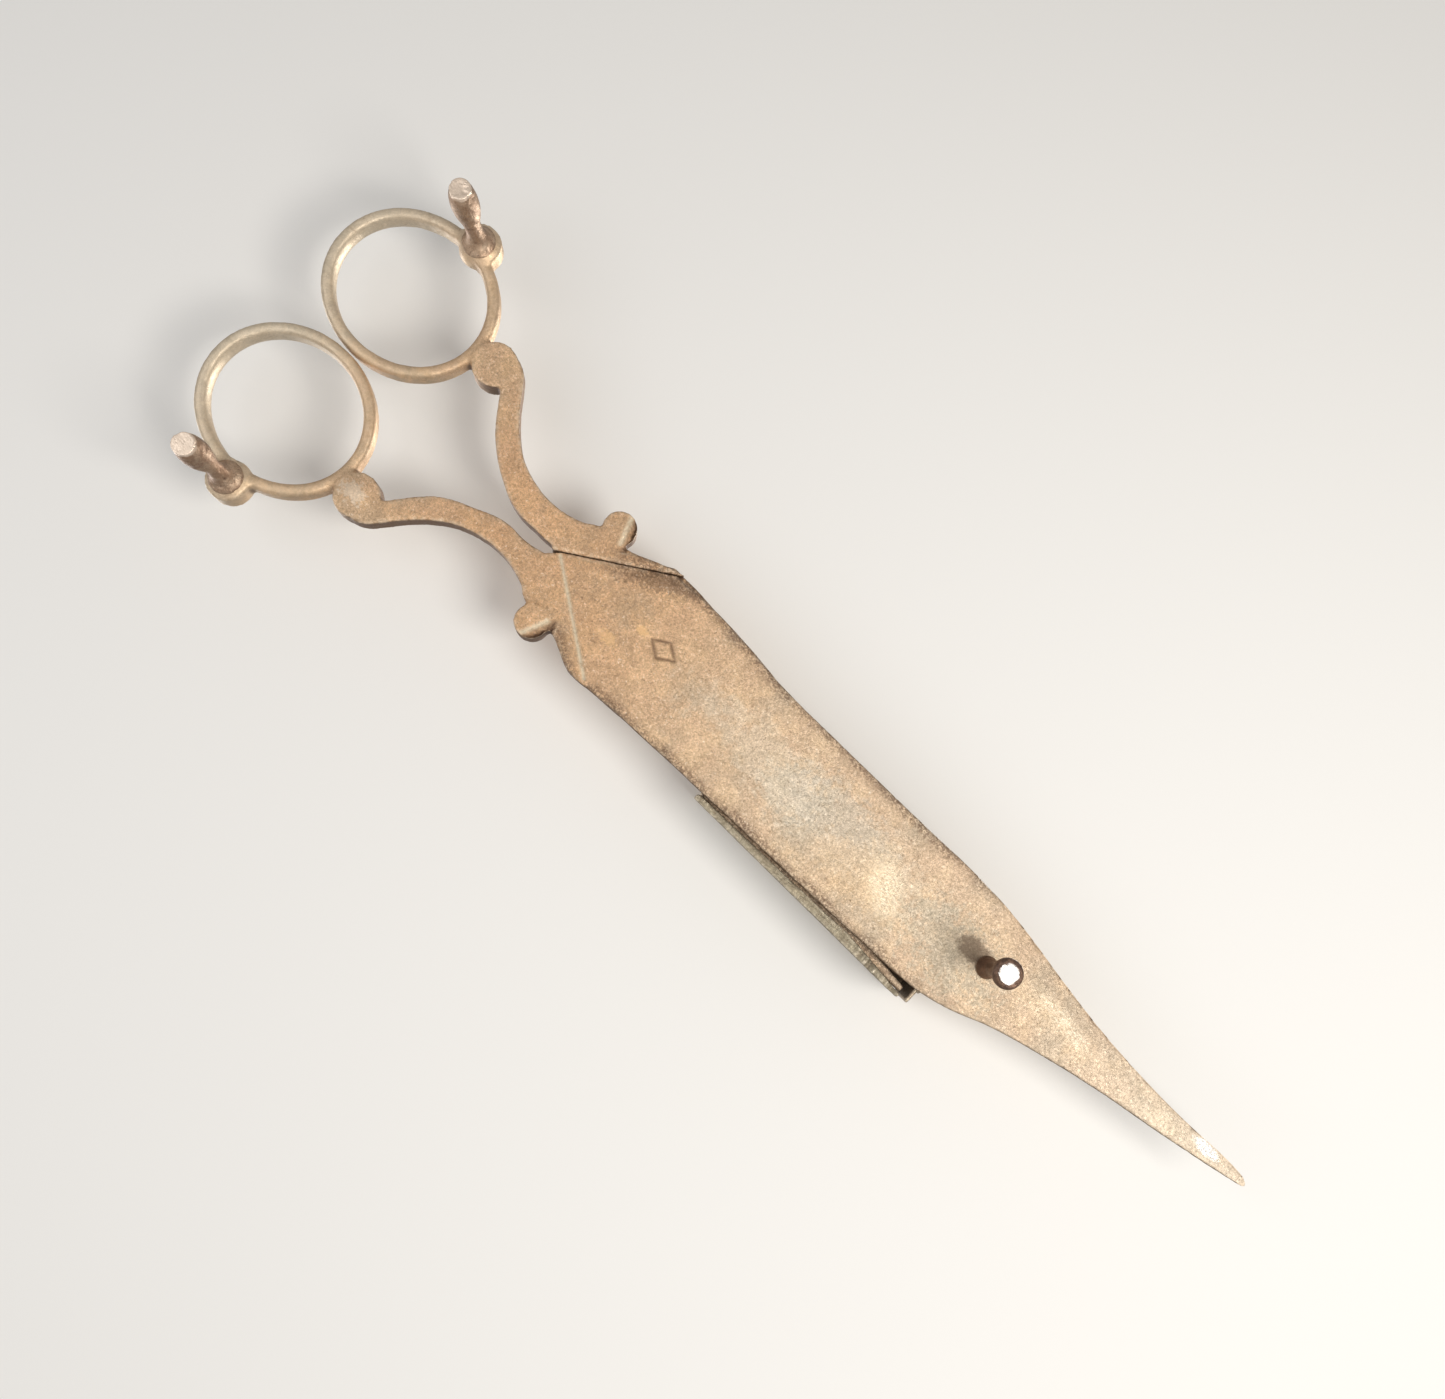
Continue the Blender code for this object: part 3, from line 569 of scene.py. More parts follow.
def stains_and_seam_shade(metal):
    """The painted shade along the seam, and the grey and the golden patches of the pan's underside."""
    # Painted shade along the seam.
    metal.spot((-5.7, -8.6), (8.5, 1.5), colour(0.22, 0.135, 0.08), 0.6, 0.9, 2.2, math.radians(33.3))
    metal.spot((28.0, -0.5), (22.0, 5.0), colour(0.74, 0.64, 0.51), 0.4, 0.5, 0.4)
    metal.spot((24.0, 0.5), (5.0, 4.0), colour(0.70, 0.62, 0.50), 0.5)
    metal.spot((31.0, -1.0), (8.0, 4.5), colour(0.58, 0.51, 0.42), 0.45, 0.8)
    metal.spot((53.0, 0.5), (9.0, 5.0), colour(0.56, 0.50, 0.39), 0.5, 0.8)
    metal.spot((36.5, 2.5), (7.0, 4.0), colour(0.80, 0.56, 0.34), 0.4)
    metal.spot((66.0, -2.5), (6.0, 2.0), colour(0.84, 0.64, 0.44), 0.4)


def rubs_and_painted_light(metal):
    """The small golden spots, the rubbed streaks, the painted shadow and dark stain by the tip foot, the
    polished tip with its painted highlight and a painted highlight on a box-side junction lobe; returns where
    it is shiny.
    """
    gold = colour(0.90, 0.58, 0.28)
    metal.spot((-4.8, -1.0), (1.1, 0.7), gold, 0.6, 0.5, 2.0)
    metal.spot((-7.4, 2.9), (1.6, 0.9), gold, 0.45, 0.7, 2.0)
    slant, orange, pale = math.radians(-40), colour(0.96, 0.72, 0.44), colour(1.0, 0.88, 0.66)
    abraded = metal.spot((41.2, 1.2), (6.0, 3.8), orange, 0.55, 0.8, 1.5, slant, (0.8, 3.4, 1.0))
    metal.spot((41.6, 0.9), (4.6, 2.8), pale, 0.9, 0.6, 3.2, slant, (0.6, 1.8, 1.0))
    slant, pale = math.radians(-8), colour(1.0, 0.88, 0.68)
    metal.spot((70.0, -3.0), (7.0, 1.5), pale, 0.7, 0.7, 2.6, slant, (0.6, 2.0, 1.0))
    # Painted shadow together with a dark stain round the tip foot's root.
    metal.spot((55.4, -1.5), (3.2, 1.8), colour(0.20, 0.13, 0.08), 0.75, 0.35)
    # Polished tip, painted near white: real polish together with a painted highlight.
    polish_and_highlight = metal.spot((94.6, -4.3), (2.3, 0.9), colour(0.98, 0.95, 0.90), 0.9, 0.2)
    # Painted highlight on the box-side junction lobe.
    metal.spot((JUNCTION_X - 0.5, BOX_SIDE * JUNCTION_Y), (1.9, 1.5), colour(0.88, 0.77, 0.62), 0.4, 0.9, 1.2)
    return maths(metal.tree, "MAXIMUM", maths(metal.tree, "MULTIPLY", abraded, 0.4), polish_and_highlight)


def arm_iron():
    metal = PatinaAndPaintedLight("arm_iron_patina_and_painted_light", 0.55, smooth_rings=True)
    metal.tone(colour(0.68, 0.50, 0.35), colour(0.60, 0.475, 0.35), colour(0.76, 0.57, 0.39), 0.12, 0.3)
    metal.tone_along(
        [
            (-52.0, colour(0.94, 0.88, 0.80)),
            (-30.0, colour(0.94, 0.77, 0.62)),
            (-8.0, colour(0.94, 0.79, 0.65)),
            (6.0, colour(0.99, 0.92, 0.84)),
            (22.0, colour(1.0, 0.98, 0.95)),
            (54.0, colour(1.0, 1.0, 1.0)),
        ],
        -80.0,
        105.0,
    )
    # Painted sheen: the finger rings grow paler and greyer towards their ends.
    metal.fade_to(colour(0.66, 0.58, 0.46), -50.0, -70.0, 0.7)
    metal.fade_to(colour(0.86, 0.74, 0.60), 66.0, 92.0, 0.6)
    stains_and_seam_shade(metal)
    metal.mottle(3.0, 0.62, 1.34, calm_rings=True)
    metal.mottle(0.35, 0.86, 1.10)
    metal.speckle(colour(0.20, 0.12, 0.065), 2.7, 0.58, 0.66, 0.6, calm_rings=True)
    metal.speckle(colour(0.30, 0.185, 0.11), 0.55, 0.60, 0.72, 0.4)
    metal.speckle(colour(0.98, 0.86, 0.70), 3.0, 0.58, 0.68, 0.6, calm_rings=True)
    shiny = rubs_and_painted_light(metal)
    # The third tint is painted shade for the sideways faces.
    edges, corners, sides = colour(0.88, 0.70, 0.50), colour(0.13, 0.07, 0.04), colour(0.17, 0.10, 0.06)
    shares = (0.6, 0.8, 0.9)
    metal.wear_and_shade_sides(edges, corners, sides, shares, side_shade_from=-47.0, rim_share=0.75, rim_span=(-20.0, 66.0))
    tree = metal.tree
    broken = reach(tree, grain(tree, metal.place, 1.5, 4, 0.7), 0.2, 0.5)
    scribed = maths(tree, "MULTIPLY", attribute(tree, "scribed"), broken)
    metal.mix_in(colour(0.80, 0.74, 0.56), scribed, 0.65)
    metal.mix_in(colour(0.22, 0.14, 0.08), attribute(tree, "punched"), 0.6)
    rings = maths(tree, "MULTIPLY", reach(tree, metal.x, -42.0, -50.0), 0.1)
    shiny = maths(tree, "MAXIMUM", shiny, rings)
    return metal.finish(0.44, 0.6, 2.6, 0.13, shiny=shiny, scratch_depth=0.01)


def box_iron():
    metal = PatinaAndPaintedLight("box_iron_patina_and_painted_shade", 0.6)
    metal.tone(colour(0.46, 0.35, 0.25), colour(0.38, 0.30, 0.22), colour(0.55, 0.41, 0.28), 0.12, 0.6)
    metal.mottle(0.3, 0.84, 1.10)
    metal.mottle(3.0, 0.74, 1.22)
    metal.speckle(colour(0.14, 0.09, 0.06), 2.7, 0.60, 0.68, 0.5)
    metal.speckle(colour(0.28, 0.16, 0.09), 0.22, 0.50, 0.72, 0.6)
    # The third colour is painted shade for the sideways faces.
    metal.wear_and_shade_sides(colour(0.70, 0.58, 0.42), colour(0.10, 0.06, 0.04), colour(0.28, 0.20, 0.14), (0.8, 0.8, 0.25))
    return metal.finish(0.38, 0.58, 2.6, 0.09)


def jaw_iron():
    metal = PatinaAndPaintedLight("jaw_iron_patina_and_painted_shade", 0.55)
    metal.tone(colour(0.47, 0.41, 0.30), colour(0.53, 0.45, 0.32), colour(0.37, 0.31, 0.22), 0.2, 0.9)
    metal.mottle(0.6, 0.82, 1.12)
    metal.mottle(3.0, 0.68, 1.25)
    metal.speckle(colour(0.10, 0.08, 0.05), 2.6, 0.58, 0.68, 0.7)
    metal.speckle(colour(0.34, 0.18, 0.09), 0.9, 0.60, 0.74, 0.5)
    # The third colour is painted shade for the sideways faces.
    metal.wear_and_shade_sides(colour(0.78, 0.68, 0.52), colour(0.09, 0.06, 0.04), colour(0.30, 0.24, 0.18), (0.95, 0.8, 0.2))
    return metal.finish(0.4, 0.62, 2.6, 0.12)


def pivot_steel():
    metal = PatinaAndPaintedLight("pivot_steel_patina_and_painted_shade", 0.8)
    metal.tone(colour(0.42, 0.35, 0.27), colour(0.34, 0.28, 0.22), colour(0.52, 0.44, 0.33), 0.3, 0.9)
    metal.speckle(colour(0.12, 0.08, 0.05), 3.0, 0.58, 0.68, 0.7)
    # The third colour is painted shade for the sideways faces.
    metal.wear_and_shade_sides(colour(0.80, 0.72, 0.58), colour(0.08, 0.05, 0.03), colour(0.28, 0.20, 0.14), (0.9, 0.9, 0.2))
    return metal.finish(0.3, 0.52, 3.0, 0.11)


def foot_steel(name, tones, worn_tone, ground, face=None):
    """A foot's steel: rusty, and ground bright below the height ground, within the radius face if given."""
    metal = PatinaAndPaintedLight(name, 0.7)
    metal.tone(*tones, 0.3, 0.9)
    metal.mottle(2.6, 0.7, 1.25)
    metal.speckle(colour(0.10, 0.06, 0.04), 2.6, 0.56, 0.68, 0.7)
    # The third colour is painted shade for the sideways faces.
    metal.wear_and_shade_sides(colour(0.66, 0.50, 0.34), colour(0.10, 0.05, 0.03), colour(0.22, 0.12, 0.07), (0.7, 0.8, 0.3))
    tree = metal.tree
    rough_line = maths(tree, "SUBTRACT", grain(tree, metal.place, 1.4, 3), 0.5)
    rough_line = maths(tree, "MULTIPLY", rough_line, ground)
    end = reach(tree, maths(tree, "ADD", metal.z, rough_line), ground, ground * 0.35)
    if face:
        streaks = grain(tree, metal.place, 0.9, 4, 0.6, (0.5, 2.4, 1.0), 0.9)
        from_middle = near(tree, metal.place, TIP_FOOT, (face, face))
        inside = maths(tree, "ADD", from_middle, maths(tree, "MULTIPLY", streaks, 0.5))
        ground_face = reach(tree, inside, 1.14, 1.0)
        metal.mix_in(colour(0.035, 0.018, 0.012), maths(tree, "SUBTRACT", 1.0, ground_face), end)
        end = maths(tree, "MULTIPLY", end, ground_face)
    metal.colour = blend(tree, end, metal.colour, worn_tone)
    return metal.finish(0.4, 0.6, 2.2, 0.05, 0.04, shiny=maths(tree, "MULTIPLY", end, 0.4))


# Pieces


SCRIBED_LINE = ((-19.6, -0.5), (-5.8, 8.9))
SCRIBE_DEPTH = 0.2
SCRIBE_WIDTH = 0.26
PUNCH_CENTRE = (-1.1, -1.1)
PUNCH_RADII = (2.1, 1.4)
PUNCH_DEPTH = 0.22
PUNCH_WIDTH = 0.2
BACK_EDGE_X = (50.0, 55.4, 60.1, 66.3, 74.4, 82.0, 90.1, 98.2)
BACK_EDGE_Y = (-8.8, -8.6, -7.95, -6.9, -5.75, -5.15, -4.95, -5.2)
SHOULDER_DISTANCE = 11.84
SHOULDER_ANGLE = math.radians(123.3)
SEAM_HALF_LENGTH = 18
SEAM_SHIFT = 0.1
FACET_TOWARD = (0.93, 0.37)
FACET_START = 0.75
FACET_END = 3.1
FACET_SLOPE = 0.75
RIDGE_DISTANCE = 0.95
RIDGE_HALF_LENGTH = 1.9
RIDGE_WIDTH = 0.28


def punch_sides():
    """The four sides of a plain lozenge punch."""
    (x, y), (across, up) = PUNCH_CENTRE, PUNCH_RADII
    corners = [(x + across, y), (x, y + up), (x - across, y), (x, y - up)]
    return list(zip(corners, corners[1:] + corners[:1]))


def facet_ridge(points, centre, side):
    """1 on the rubbed ridge where a scroll's filed slope begins, falling to 0 away from it."""
    toward = Vector((FACET_TOWARD[0], FACET_TOWARD[1] * side))
    middle = Vector(centre) + RIDGE_DISTANCE * toward
    half = RIDGE_HALF_LENGTH * Vector((-toward.y, toward.x))
    return np.exp(-((line_distance(points, middle - half, middle + half) / RIDGE_WIDTH) ** 2))


def cut_facet(points, below, centre, side):
    """Files the tip-ward edge of a scroll to a flat slope."""
    toward = np.array([FACET_TOWARD[0], FACET_TOWARD[1] * side])
    offset = points[:, :2] - np.array(centre)
    beyond = offset @ toward - FACET_START
    chosen = below & (np.linalg.norm(offset, axis=1) < FACET_END) & (beyond > 0)
    slope = UNDERSIDE - PROUD + FACET_SLOPE * np.clip(beyond, 0, None)
    points[:, 2] = np.where(chosen, np.maximum(points[:, 2], slope), points[:, 2])


def crown(points, below, centre, radius, rise):
    """Domes the underside round a centre; the dome runs out softly into the metal round it."""
    distance, run_out = np.linalg.norm(points[:, :2] - np.array(centre), axis=1), 1.25 * radius
    share = 1 - smooth_step(distance, 0.1 * radius, run_out)
    domed = points[:, 2] + share * (UNDERSIDE - points[:, 2]) - rise * share
    points[:, 2] = np.where(below & (distance < run_out), domed, points[:, 2])


def close_seam(points, side, chosen, shift):
    """Brings an arm's edge up to its neighbour's shoulder, so that the seam is a thin line."""
    away = np.array([math.cos(SHOULDER_ANGLE), side * math.sin(SHOULDER_ANGLE)])
    distance = points[:, :2] @ away - SHOULDER_DISTANCE
    amount = shift * (1 - smooth_step(np.abs(distance + 0.15), 0.25, 0.9))
    along = np.abs(points[:, :2] @ np.array([-away[1], away[0]])) < SEAM_HALF_LENGTH
    points[:, :2] += np.where(chosen & along, amount, 0)[:, None] * away


def roll_back_edge(points, below):
    """Rounds the pan's underside off towards its back edge, beyond the box."""
    inward = points[:, 1] - np.interp(points[:, 0], BACK_EDGE_X, BACK_EDGE_Y)
    amount = 0.4 * (1 - smooth_step(inward, 0, 2.4)) * smooth_step(points[:, 0], 48, 60)
    points[:, 2] += np.where(below, amount, 0)


def engrave(points, out, ridge):
    """Cuts the scribed line and the punch into the lap plate's underside; returns both marks, from 0 to 1."""
    scribed = np.exp(-((line_distance(points, *SCRIBED_LINE) / SCRIBE_WIDTH) ** 2))
    sides = [np.exp(-((line_distance(points, *line) / PUNCH_WIDTH) ** 2)) for line in punch_sides()]
    punched = np.maximum.reduce(sides)
    flat_below = (out[:, 2] < -0.6) & (points[:, 2] < UNDERSIDE + 0.5)
    points[:, 2] += np.where(flat_below, SCRIBE_DEPTH * scribed + PUNCH_DEPTH * punched, 0)
    return np.where(flat_below, np.maximum(scribed, ridge), 0), np.where(flat_below, punched, 0)


def shape_arm(node, side, seed):
    """An arm with its round ring, domed lobes, filed scroll, closed seam and worn surface."""
    form = bmesh.new()
    solid_from_node(form, node)
    add_band(form, side)
    middle_z = (UNDERSIDE + ARM_TOP) / 2
    add_dome(form, (JUNCTION_X, side * JUNCTION_Y, middle_z), (3.05, 3.05, 1.95))
    add_dome(form, (LOBE_X, side * LOBE_Y, middle_z - 0.15), (3.0, 3.0, 2.0))
    mesh = forged(form, 0.33, 3)
    if side == BOX_SIDE:
        grooves = [SCRIBED_LINE, *punch_sides()]

        def by_groove(point):
            if point.z > UNDERSIDE + 0.6:
                return False
            spot = np.array([point])
            return min(line_distance(spot, *groove)[0] for groove in grooves) < 0.75

        refine(mesh, by_groove)
    points, out = coordinates(mesh), normals(mesh)
    below = (out[:, 2] < -0.3) & (points[:, 2] < UNDERSIDE + 1.2)
    crown(points, below, (JUNCTION_X, side * JUNCTION_Y), 2.7, 0.85 if side == BOX_SIDE else 0.2)
    crown(points, below, (LOBE_X, side * LOBE_Y), 2.9, 1.1)
    cut_facet(points, below, SCROLL[side], side)
    close_seam(points, PRESS_SIDE, points[:, 2] < PAN_TOP + 0.1, side * SEAM_SHIFT)
    close_seam(points, BOX_SIDE, points[:, 2] > PAN_TOP + 0.2, -side * SEAM_SHIFT)
    if side == BOX_SIDE:
        roll_back_edge(points, below)
    set_coordinates(mesh, points)
    weather(mesh, 0.035, 0.035, seed)
    points, out = coordinates(mesh), normals(mesh)
    ridge = facet_ridge(points, SCROLL[side], side)
    if side == BOX_SIDE:
        scribed, punched = engrave(points, out, ridge)
        store(mesh, "scribed", scribed)
        store(mesh, "punched", punched)
    else:
        store(mesh, "scribed", np.where(out[:, 2] < -0.3, ridge, 0))
    set_coordinates(mesh, points)
    return mesh


def make_arms(material):
    arms = (("box_arm", "box_side", BOX_SIDE, 3), ("press_arm", "press_side", PRESS_SIDE, 11))
    for node, body, side, seed in arms:
        finish_piece(node + "_forging", shape_arm(node, side, seed), body, "arm_iron", material, node)


def worn_copy(node, voxel, swell, pits, seed):
    """A CAD node's solid with softened edges and a worn surface."""
    form = bmesh.new()
    solid_from_node(form, node)
    mesh = forged(form, voxel, 2)
    weather(mesh, swell, pits, seed)
    return mesh


def make_box(material):
    wall = worn_copy("box_wall", 0.2, 0.07, 0.04, 21)
    finish_piece("box_wall_sheet", wall, "box_side", "box_iron", material, "box_wall")
    roof = worn_copy("box_roof", 0.25, 0.06, 0.05, 27)
    finish_piece("box_roof_sheet", roof, "box_side", "box_iron", material, "box_roof")


def make_braze(material):
    """The low, uneven bead of braze round the outside of the wall's foot."""
    rear, front, back = wall_low.x, wall_high.x, wall_low.y
    bend, pitch, bead_radius, sides, lift = 2.2, 0.6, 0.42, 10, 0.05
    straight_steps = int((front - rear - 2 * bend) / pitch) + 1
    path = [(rear, 2.6 - 0.5 * step) for step in range(17)]
    for corner_x, start in ((rear + bend, math.pi), (front - bend, 1.5 * math.pi)):
        arc = [start + math.pi / 2 * step / 6 for step in range(1, 6)]
        path += [(corner_x + bend * math.cos(turn), back + bend + bend * math.sin(turn)) for turn in arc]
        if corner_x < front - bend:
            path += [(corner_x + pitch * step, back) for step in range(straight_steps)]
    path += [(front, back + bend + pitch * step) for step in range(23)]
    turns = [2 * math.pi * step / sides for step in range(sides)]
    rings = []
    for i, spot in enumerate(path):
        ahead, behind = Vector(path[min(i + 1, len(path) - 1)]), Vector(path[max(i - 1, 0)])
        along = (ahead - behind).normalized()
        outward = Vector((along.y, -along.x))
        size = bead_radius * (0.35 if i in (0, len(path) - 1) else 1)
        ring = []
        for turn in turns:
            x, y = Vector(spot) + outward * (size * math.cos(turn) + 0.02)
            ring.append((x, y, PAN_TOP + lift + size * math.sin(turn)))
        rings.append(ring)
    mesh = to_mesh(bridged(rings))
    weather(mesh, 0.2, 0.08, 91)
    finish_piece("box_braze_bead", mesh, "box_side", "box_iron", material)


LIP_INNER_X = (15.6, 29.0, 42.0, 47.0, 51.8)
LIP_INNER_Y = (9.02, 8.74, 8.34, 8.75, 9.2)


def add_lip(form):
    """The thick lower lip of the press plate, which follows the pan's edge and tapers off at the front."""
    low, high, outer, pitch = plate_low.z + 0.15, PAN_TOP + 0.25, 9.5, 0.8
    rings = []
    for x in np.arange(LIP_INNER_X[0], LIP_INNER_X[-1], pitch):
        inner = float(np.interp(x, LIP_INNER_X, LIP_INNER_Y))
        rings.append([(x, inner, low), (x, outer, low), (x, outer, high), (x, inner, high)])
    mesh = to_mesh(bridged(rings))
    form.from_mesh(mesh)
    bpy.data.meshes.remove(mesh)


def make_press_plate(material):
    """The press plate, with its lower edge nicked all along and chipped at the front."""
    form = bmesh.new()
    solid_from_node(form, "press_plate")
    add_lip(form)
    mesh = forged(form, 0.2, 2)
    points = coordinates(mesh)
    low = plate_low.z
    chipped = smooth_step(points[:, 0], 43.0, 47.0)
    along = points * np.array([1, 0, 0])
    bites = np.clip(sample_noise(along, 0.9, 71) + 0.15, 0, 1)
    nicks = np.clip(sample_noise(along, 2.3, 83), 0, 1)
    lift = chipped * bites * 1.1 + (0.25 + 0.5 * chipped) * nicks * 0.5
    points[:, 2] += lift * (1 - smooth_step(points[:, 2], low, low + 1.1))
    set_coordinates(mesh, points)
    weather(mesh, 0.05, 0.05, 33)
    finish_piece("press_plate_leaf", mesh, "press_side", "jaw_iron", material, "press_plate")


def make_rivets(material):
    for node, seed in (("press_plate_rivet_front", 41), ("press_plate_rivet_rear", 43)):
        low, high = box_mm(node)
        centre = ((low.x + high.x) / 2, (low.y + high.y) / 2)
        head = (high.x - low.x) / 2
        seat = high.z - 0.6
        profile = [(0, high.z), (head * 0.4, high.z - 0.05), (head * 0.75, high.z - 0.2)]
        profile += [(head * 0.95, seat + 0.2), (head, seat + 0.05), (head * 0.96, seat)]
        profile += [(0.7, seat - 0.02), (0.7, low.z), (0, low.z)]
        mesh = spun(profile, centre, 32)
        weather(mesh, 0.06, 0.05, seed)
        finish_piece(node + "_head", mesh, "press_side", "jaw_iron", material, node)


def make_pivot(material):
    screw = worn_copy("pivot_screw", 0.13, 0.03, 0.03, 51)
    finish_piece("pivot_screw_turned", screw, "box_side", "pivot_steel", material, "pivot_screw")
    washer = worn_copy("pivot_washer", 0.13, 0.03, 0.03, 57)
    finish_piece("pivot_washer_disc", washer, "box_side", "pivot_steel", material, "pivot_washer")


def make_tip_foot(material):
    """A slim turned peg with a disc to stand on and a small rivet head on the pan's upper side."""
    top = tip_foot_high.z
    seat = top - 0.6
    profile = [(0, top), (0.55, top - 0.06), (1.0, seat + 0.36), (1.35, seat)]
    profile += [(0.8, seat - 0.05), (0.8, UNDERSIDE), (1.5, UNDERSIDE - 0.1), (1.38, UNDERSIDE - 0.7)]
    profile += [(0.95, UNDERSIDE - 1.7), (0.85, UNDERSIDE - 3.0), (0.82, 6.0), (0.86, 3.0), (0.95, 2.2)]
    profile += [(1.45, 1.65), (1.88, 1.3), (1.97, 0.95), (1.95, 0.5), (1.8, 0.24), (1.5, 0.12), (0.9, 0.04)]
    profile += [(0, 0)]
    mesh = spun(profile, TIP_FOOT, 48)
    weather(mesh, 0.05, 0.05, 61)
    finish_piece("tip_foot_peg", mesh, "box_side", "tip_foot_steel", material, "tip_foot")


BALUSTER = (
    (0.965, 2.3),
    (0.945, 2.25),
    (0.915, 1.9),
    (0.87, 1.5),
    (0.8, 1.22),
    (0.71, 1.1),
    (0.62, 1.12),
    (0.53, 1.32),
    (0.43, 1.62),
    (0.33, 1.82),
    (0.23, 1.87),
    (0.14, 1.8),
    (0.07, 1.66),
    (0.02, 1.5),
)


def make_ring_feet(material):
    """Two turned baluster pegs that lean back and outwards."""
    top, seat = ARM_TOP + 0.2, UNDERSIDE - 0.1
    lean_back, lean_out = 2.6, 0.7
    profile = [(0, top), (0.7, top - 0.05), (0.95, top - 0.25), (0.8, top - 0.5), (0.8, seat), (1.7, seat)]
    profile += [(radius, share * seat) for share, radius in BALUSTER]
    profile += [(1.36, 0), (0.6, 0.05), (0, 0.06)]
    feet = (("ring_foot_left", "box_side", BOX_SIDE, 67), ("ring_foot_right", "press_side", PRESS_SIDE, 73))
    for node, body, side, seed in feet:
        mesh = spun(profile, (LOBE_X, side * LOBE_Y), 40)
        points = coordinates(mesh)
        lean = np.clip((seat - points[:, 2]) / seat, 0, None)
        points[:, 0] -= lean * lean_back
        points[:, 1] += lean * side * lean_out
        set_coordinates(mesh, points)
        weather(mesh, 0.12, 0.1, seed)
        points = coordinates(mesh)
        points[:, 2] = np.maximum(points[:, 2], 0)
        set_coordinates(mesh, points)
        finish_piece(node + "_peg", mesh, body, "foot_iron", material, node)


# Stage, lights and camera


PALE_SURFACE = colour(0.80, 0.785, 0.76)
COOL_LIGHT = (0.95, 0.97, 1.0)
WARM_LIGHT = (1.0, 0.97, 0.92)


def stage_plane(name, height, facing):
    """A pale surface that shows from one side only and fades out towards its rim."""
    form = bmesh.new()
    bmesh.ops.create_grid(form, x_segments=2, y_segments=2, size=0.6)
    if facing < 0:
        bmesh.ops.reverse_faces(form, faces=form.faces)
    mesh = bpy.data.meshes.new(name)
    form.to_mesh(mesh)
    form.free()
    material = bpy.data.materials.new(name)
    material.use_nodes = True
    tree = material.node_tree
    shader = tree.nodes["Principled BSDF"]
    shader.inputs["Base Color"].default_value = PALE_SURFACE
    shader.inputs["Roughness"].default_value = 0.9
    shader.inputs["Specular IOR Level"].default_value = 0.1
    clear = add(tree, "ShaderNodeBsdfTransparent").outputs[0]
    geometry = add(tree, "ShaderNodeNewGeometry")
    spot = add(tree, "ShaderNodeTexCoord").outputs["Object"]
    far = reach(tree, near(tree, spot, (0, 0), (1, 1)), 0.14, 0.42)
    hidden = maths(tree, "MAXIMUM", geometry.outputs["Backfacing"], far)
    if facing < 0:
        across = add(tree, "ShaderNodeSeparateXYZ", {0: geometry.outputs["Incoming"]}).outputs["Z"]
        grazing = reach(tree, maths(tree, "ABSOLUTE", across), 0.35, 0.15)
        hidden = maths(tree, "MAXIMUM", hidden, grazing)
    mixed = add(tree, "ShaderNodeMixShader", {0: hidden, 1: shader.outputs[0], 2: clear}).outputs[0]
    tree.links.new(mixed, tree.nodes["Material Output"].inputs["Surface"])
    mesh.materials.append(material)
    plane = new_object(name, mesh)
    plane.location.z = height
    plane.visible_shadow = False
    plane.visible_diffuse = False
    plane.visible_glossy = False
    plane.visible_transmission = False


def area_light(name, place, aim, power, size, tint=WARM_LIGHT):
    data = bpy.data.lights.new(name, "AREA")
    data.shape = "DISK"
    data.size = size
    data.energy = power
    data.color = tint
    lamp = bpy.data.objects.new(name, data)
    bpy.context.scene.collection.objects.link(lamp)
    lamp.location = place
    lamp.rotation_euler = (Vector(aim) - Vector(place)).to_track_quat("-Z", "Y").to_euler()
    lamp.visible_camera = False


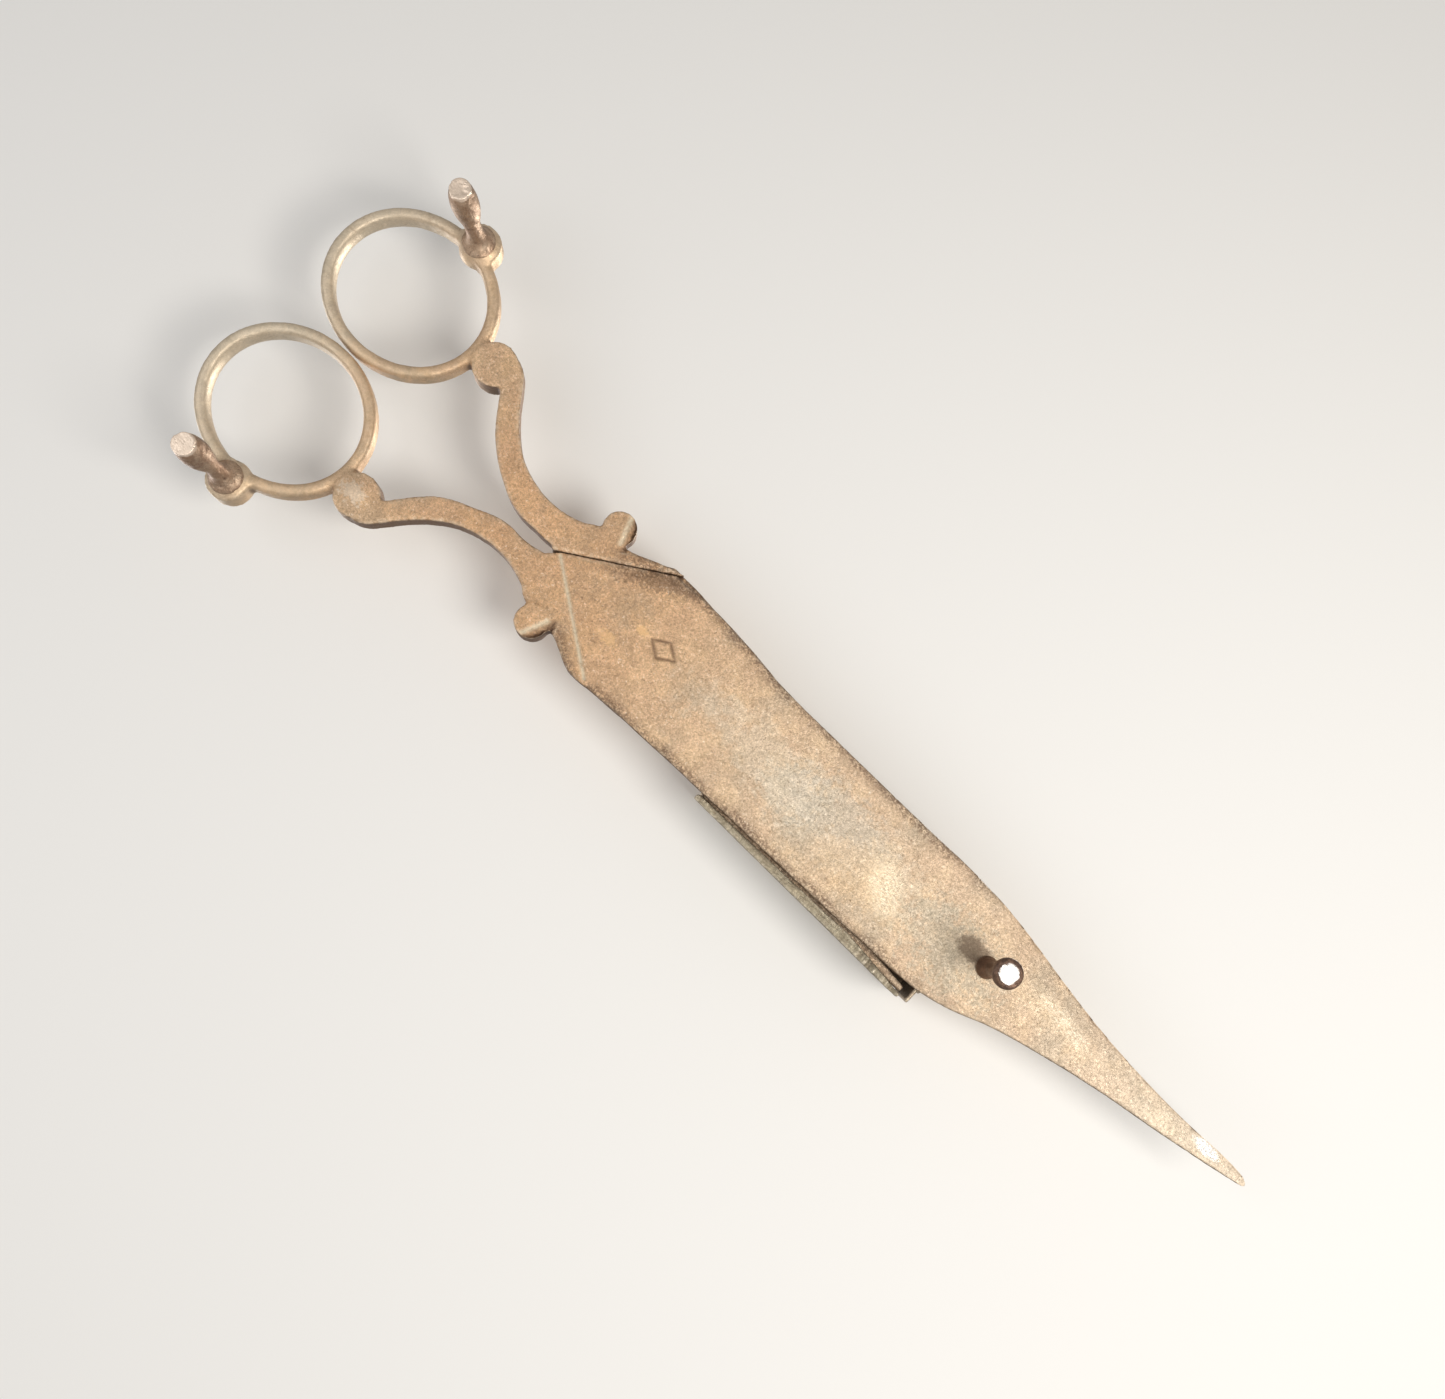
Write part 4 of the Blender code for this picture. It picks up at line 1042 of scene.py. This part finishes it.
def light_stage():
    stage_plane("surface_above", cad_high.z + 0.0002, -1)
    stage_plane("surface_under_feet", cad_low.z - 0.0001, 1)
    middle = (0.0, 0.0, 0.012)
    area_light("key_below", (0.17, -0.02, -0.26), (0.03, 0, 0.012), 0.76, 0.16)
    area_light("fill_below", (-0.16, 0.14, -0.24), middle, 0.3, 0.3, COOL_LIGHT)
    area_light("key_above", (0.16, -0.22, 0.34), middle, 1.2, 0.2)
    area_light("fill_above", (-0.25, 0.2, 0.3), middle, 0.6, 0.3, COOL_LIGHT)
    world = bpy.data.worlds.new("pale_room")
    world.use_nodes = True
    tree = world.node_tree
    room = tree.nodes["Background"]
    room.inputs["Color"].default_value = colour(0.92, 0.91, 0.9)
    room.inputs["Strength"].default_value = 0.42
    backdrop = add(tree, "ShaderNodeBackground", {"Color": PALE_SURFACE, "Strength": 1.0})
    seen = add(tree, "ShaderNodeLightPath").outputs["Is Camera Ray"]
    mixed = add(tree, "ShaderNodeMixShader", {0: seen, 1: room.outputs[0], 2: backdrop.outputs[0]})
    tree.links.new(mixed.outputs[0], tree.nodes["World Output"].inputs["Surface"])
    bpy.context.scene.world = world
    bpy.context.scene.view_settings.view_transform = "Standard"


CAMERA_PLACE = Vector((0.00131, 0.02136, -0.1776))
CAMERA_RIGHT = Vector((0.7136, -0.6981, -0.0592))
CAMERA_UP = Vector((-0.6996, -0.7055, -0.1132))
CAMERA_LENS = 36.125


def make_camera():
    data = bpy.data.cameras.new("camera")
    data.lens = CAMERA_LENS
    data.sensor_width = 36.0
    data.clip_start = 0.005
    camera = bpy.data.objects.new("camera", data)
    bpy.context.scene.collection.objects.link(camera)
    right = CAMERA_RIGHT.normalized()
    back = right.cross(CAMERA_UP).normalized()
    up = back.cross(right)
    camera.matrix_world = Matrix.Translation(CAMERA_PLACE) @ Matrix((right, up, back)).transposed().to_4x4()
    bpy.context.scene.camera = camera


make_camera()
light_stage()
arm_metal = arm_iron()
box_metal = box_iron()
jaw_metal = jaw_iron()
pivot_metal = pivot_steel()
dark_tones = colour(0.10, 0.06, 0.045), colour(0.14, 0.08, 0.05), colour(0.22, 0.13, 0.09)
tan_tones = colour(0.50, 0.35, 0.24), colour(0.42, 0.27, 0.18), colour(0.62, 0.46, 0.33)
tip_foot_metal = foot_steel("tip_foot_steel_patina_and_painted_shade", dark_tones, colour(0.90, 0.86, 0.82), 0.12, 1.55)
ring_foot_metal = foot_steel("foot_iron_patina_and_painted_shade", tan_tones, colour(0.86, 0.70, 0.56), 0.5)
make_arms(arm_metal)
make_box(box_metal)
make_braze(box_metal)
make_press_plate(jaw_metal)
make_rivets(jaw_metal)
make_pivot(pivot_metal)
make_tip_foot(tip_foot_metal)
make_ring_feet(ring_foot_metal)
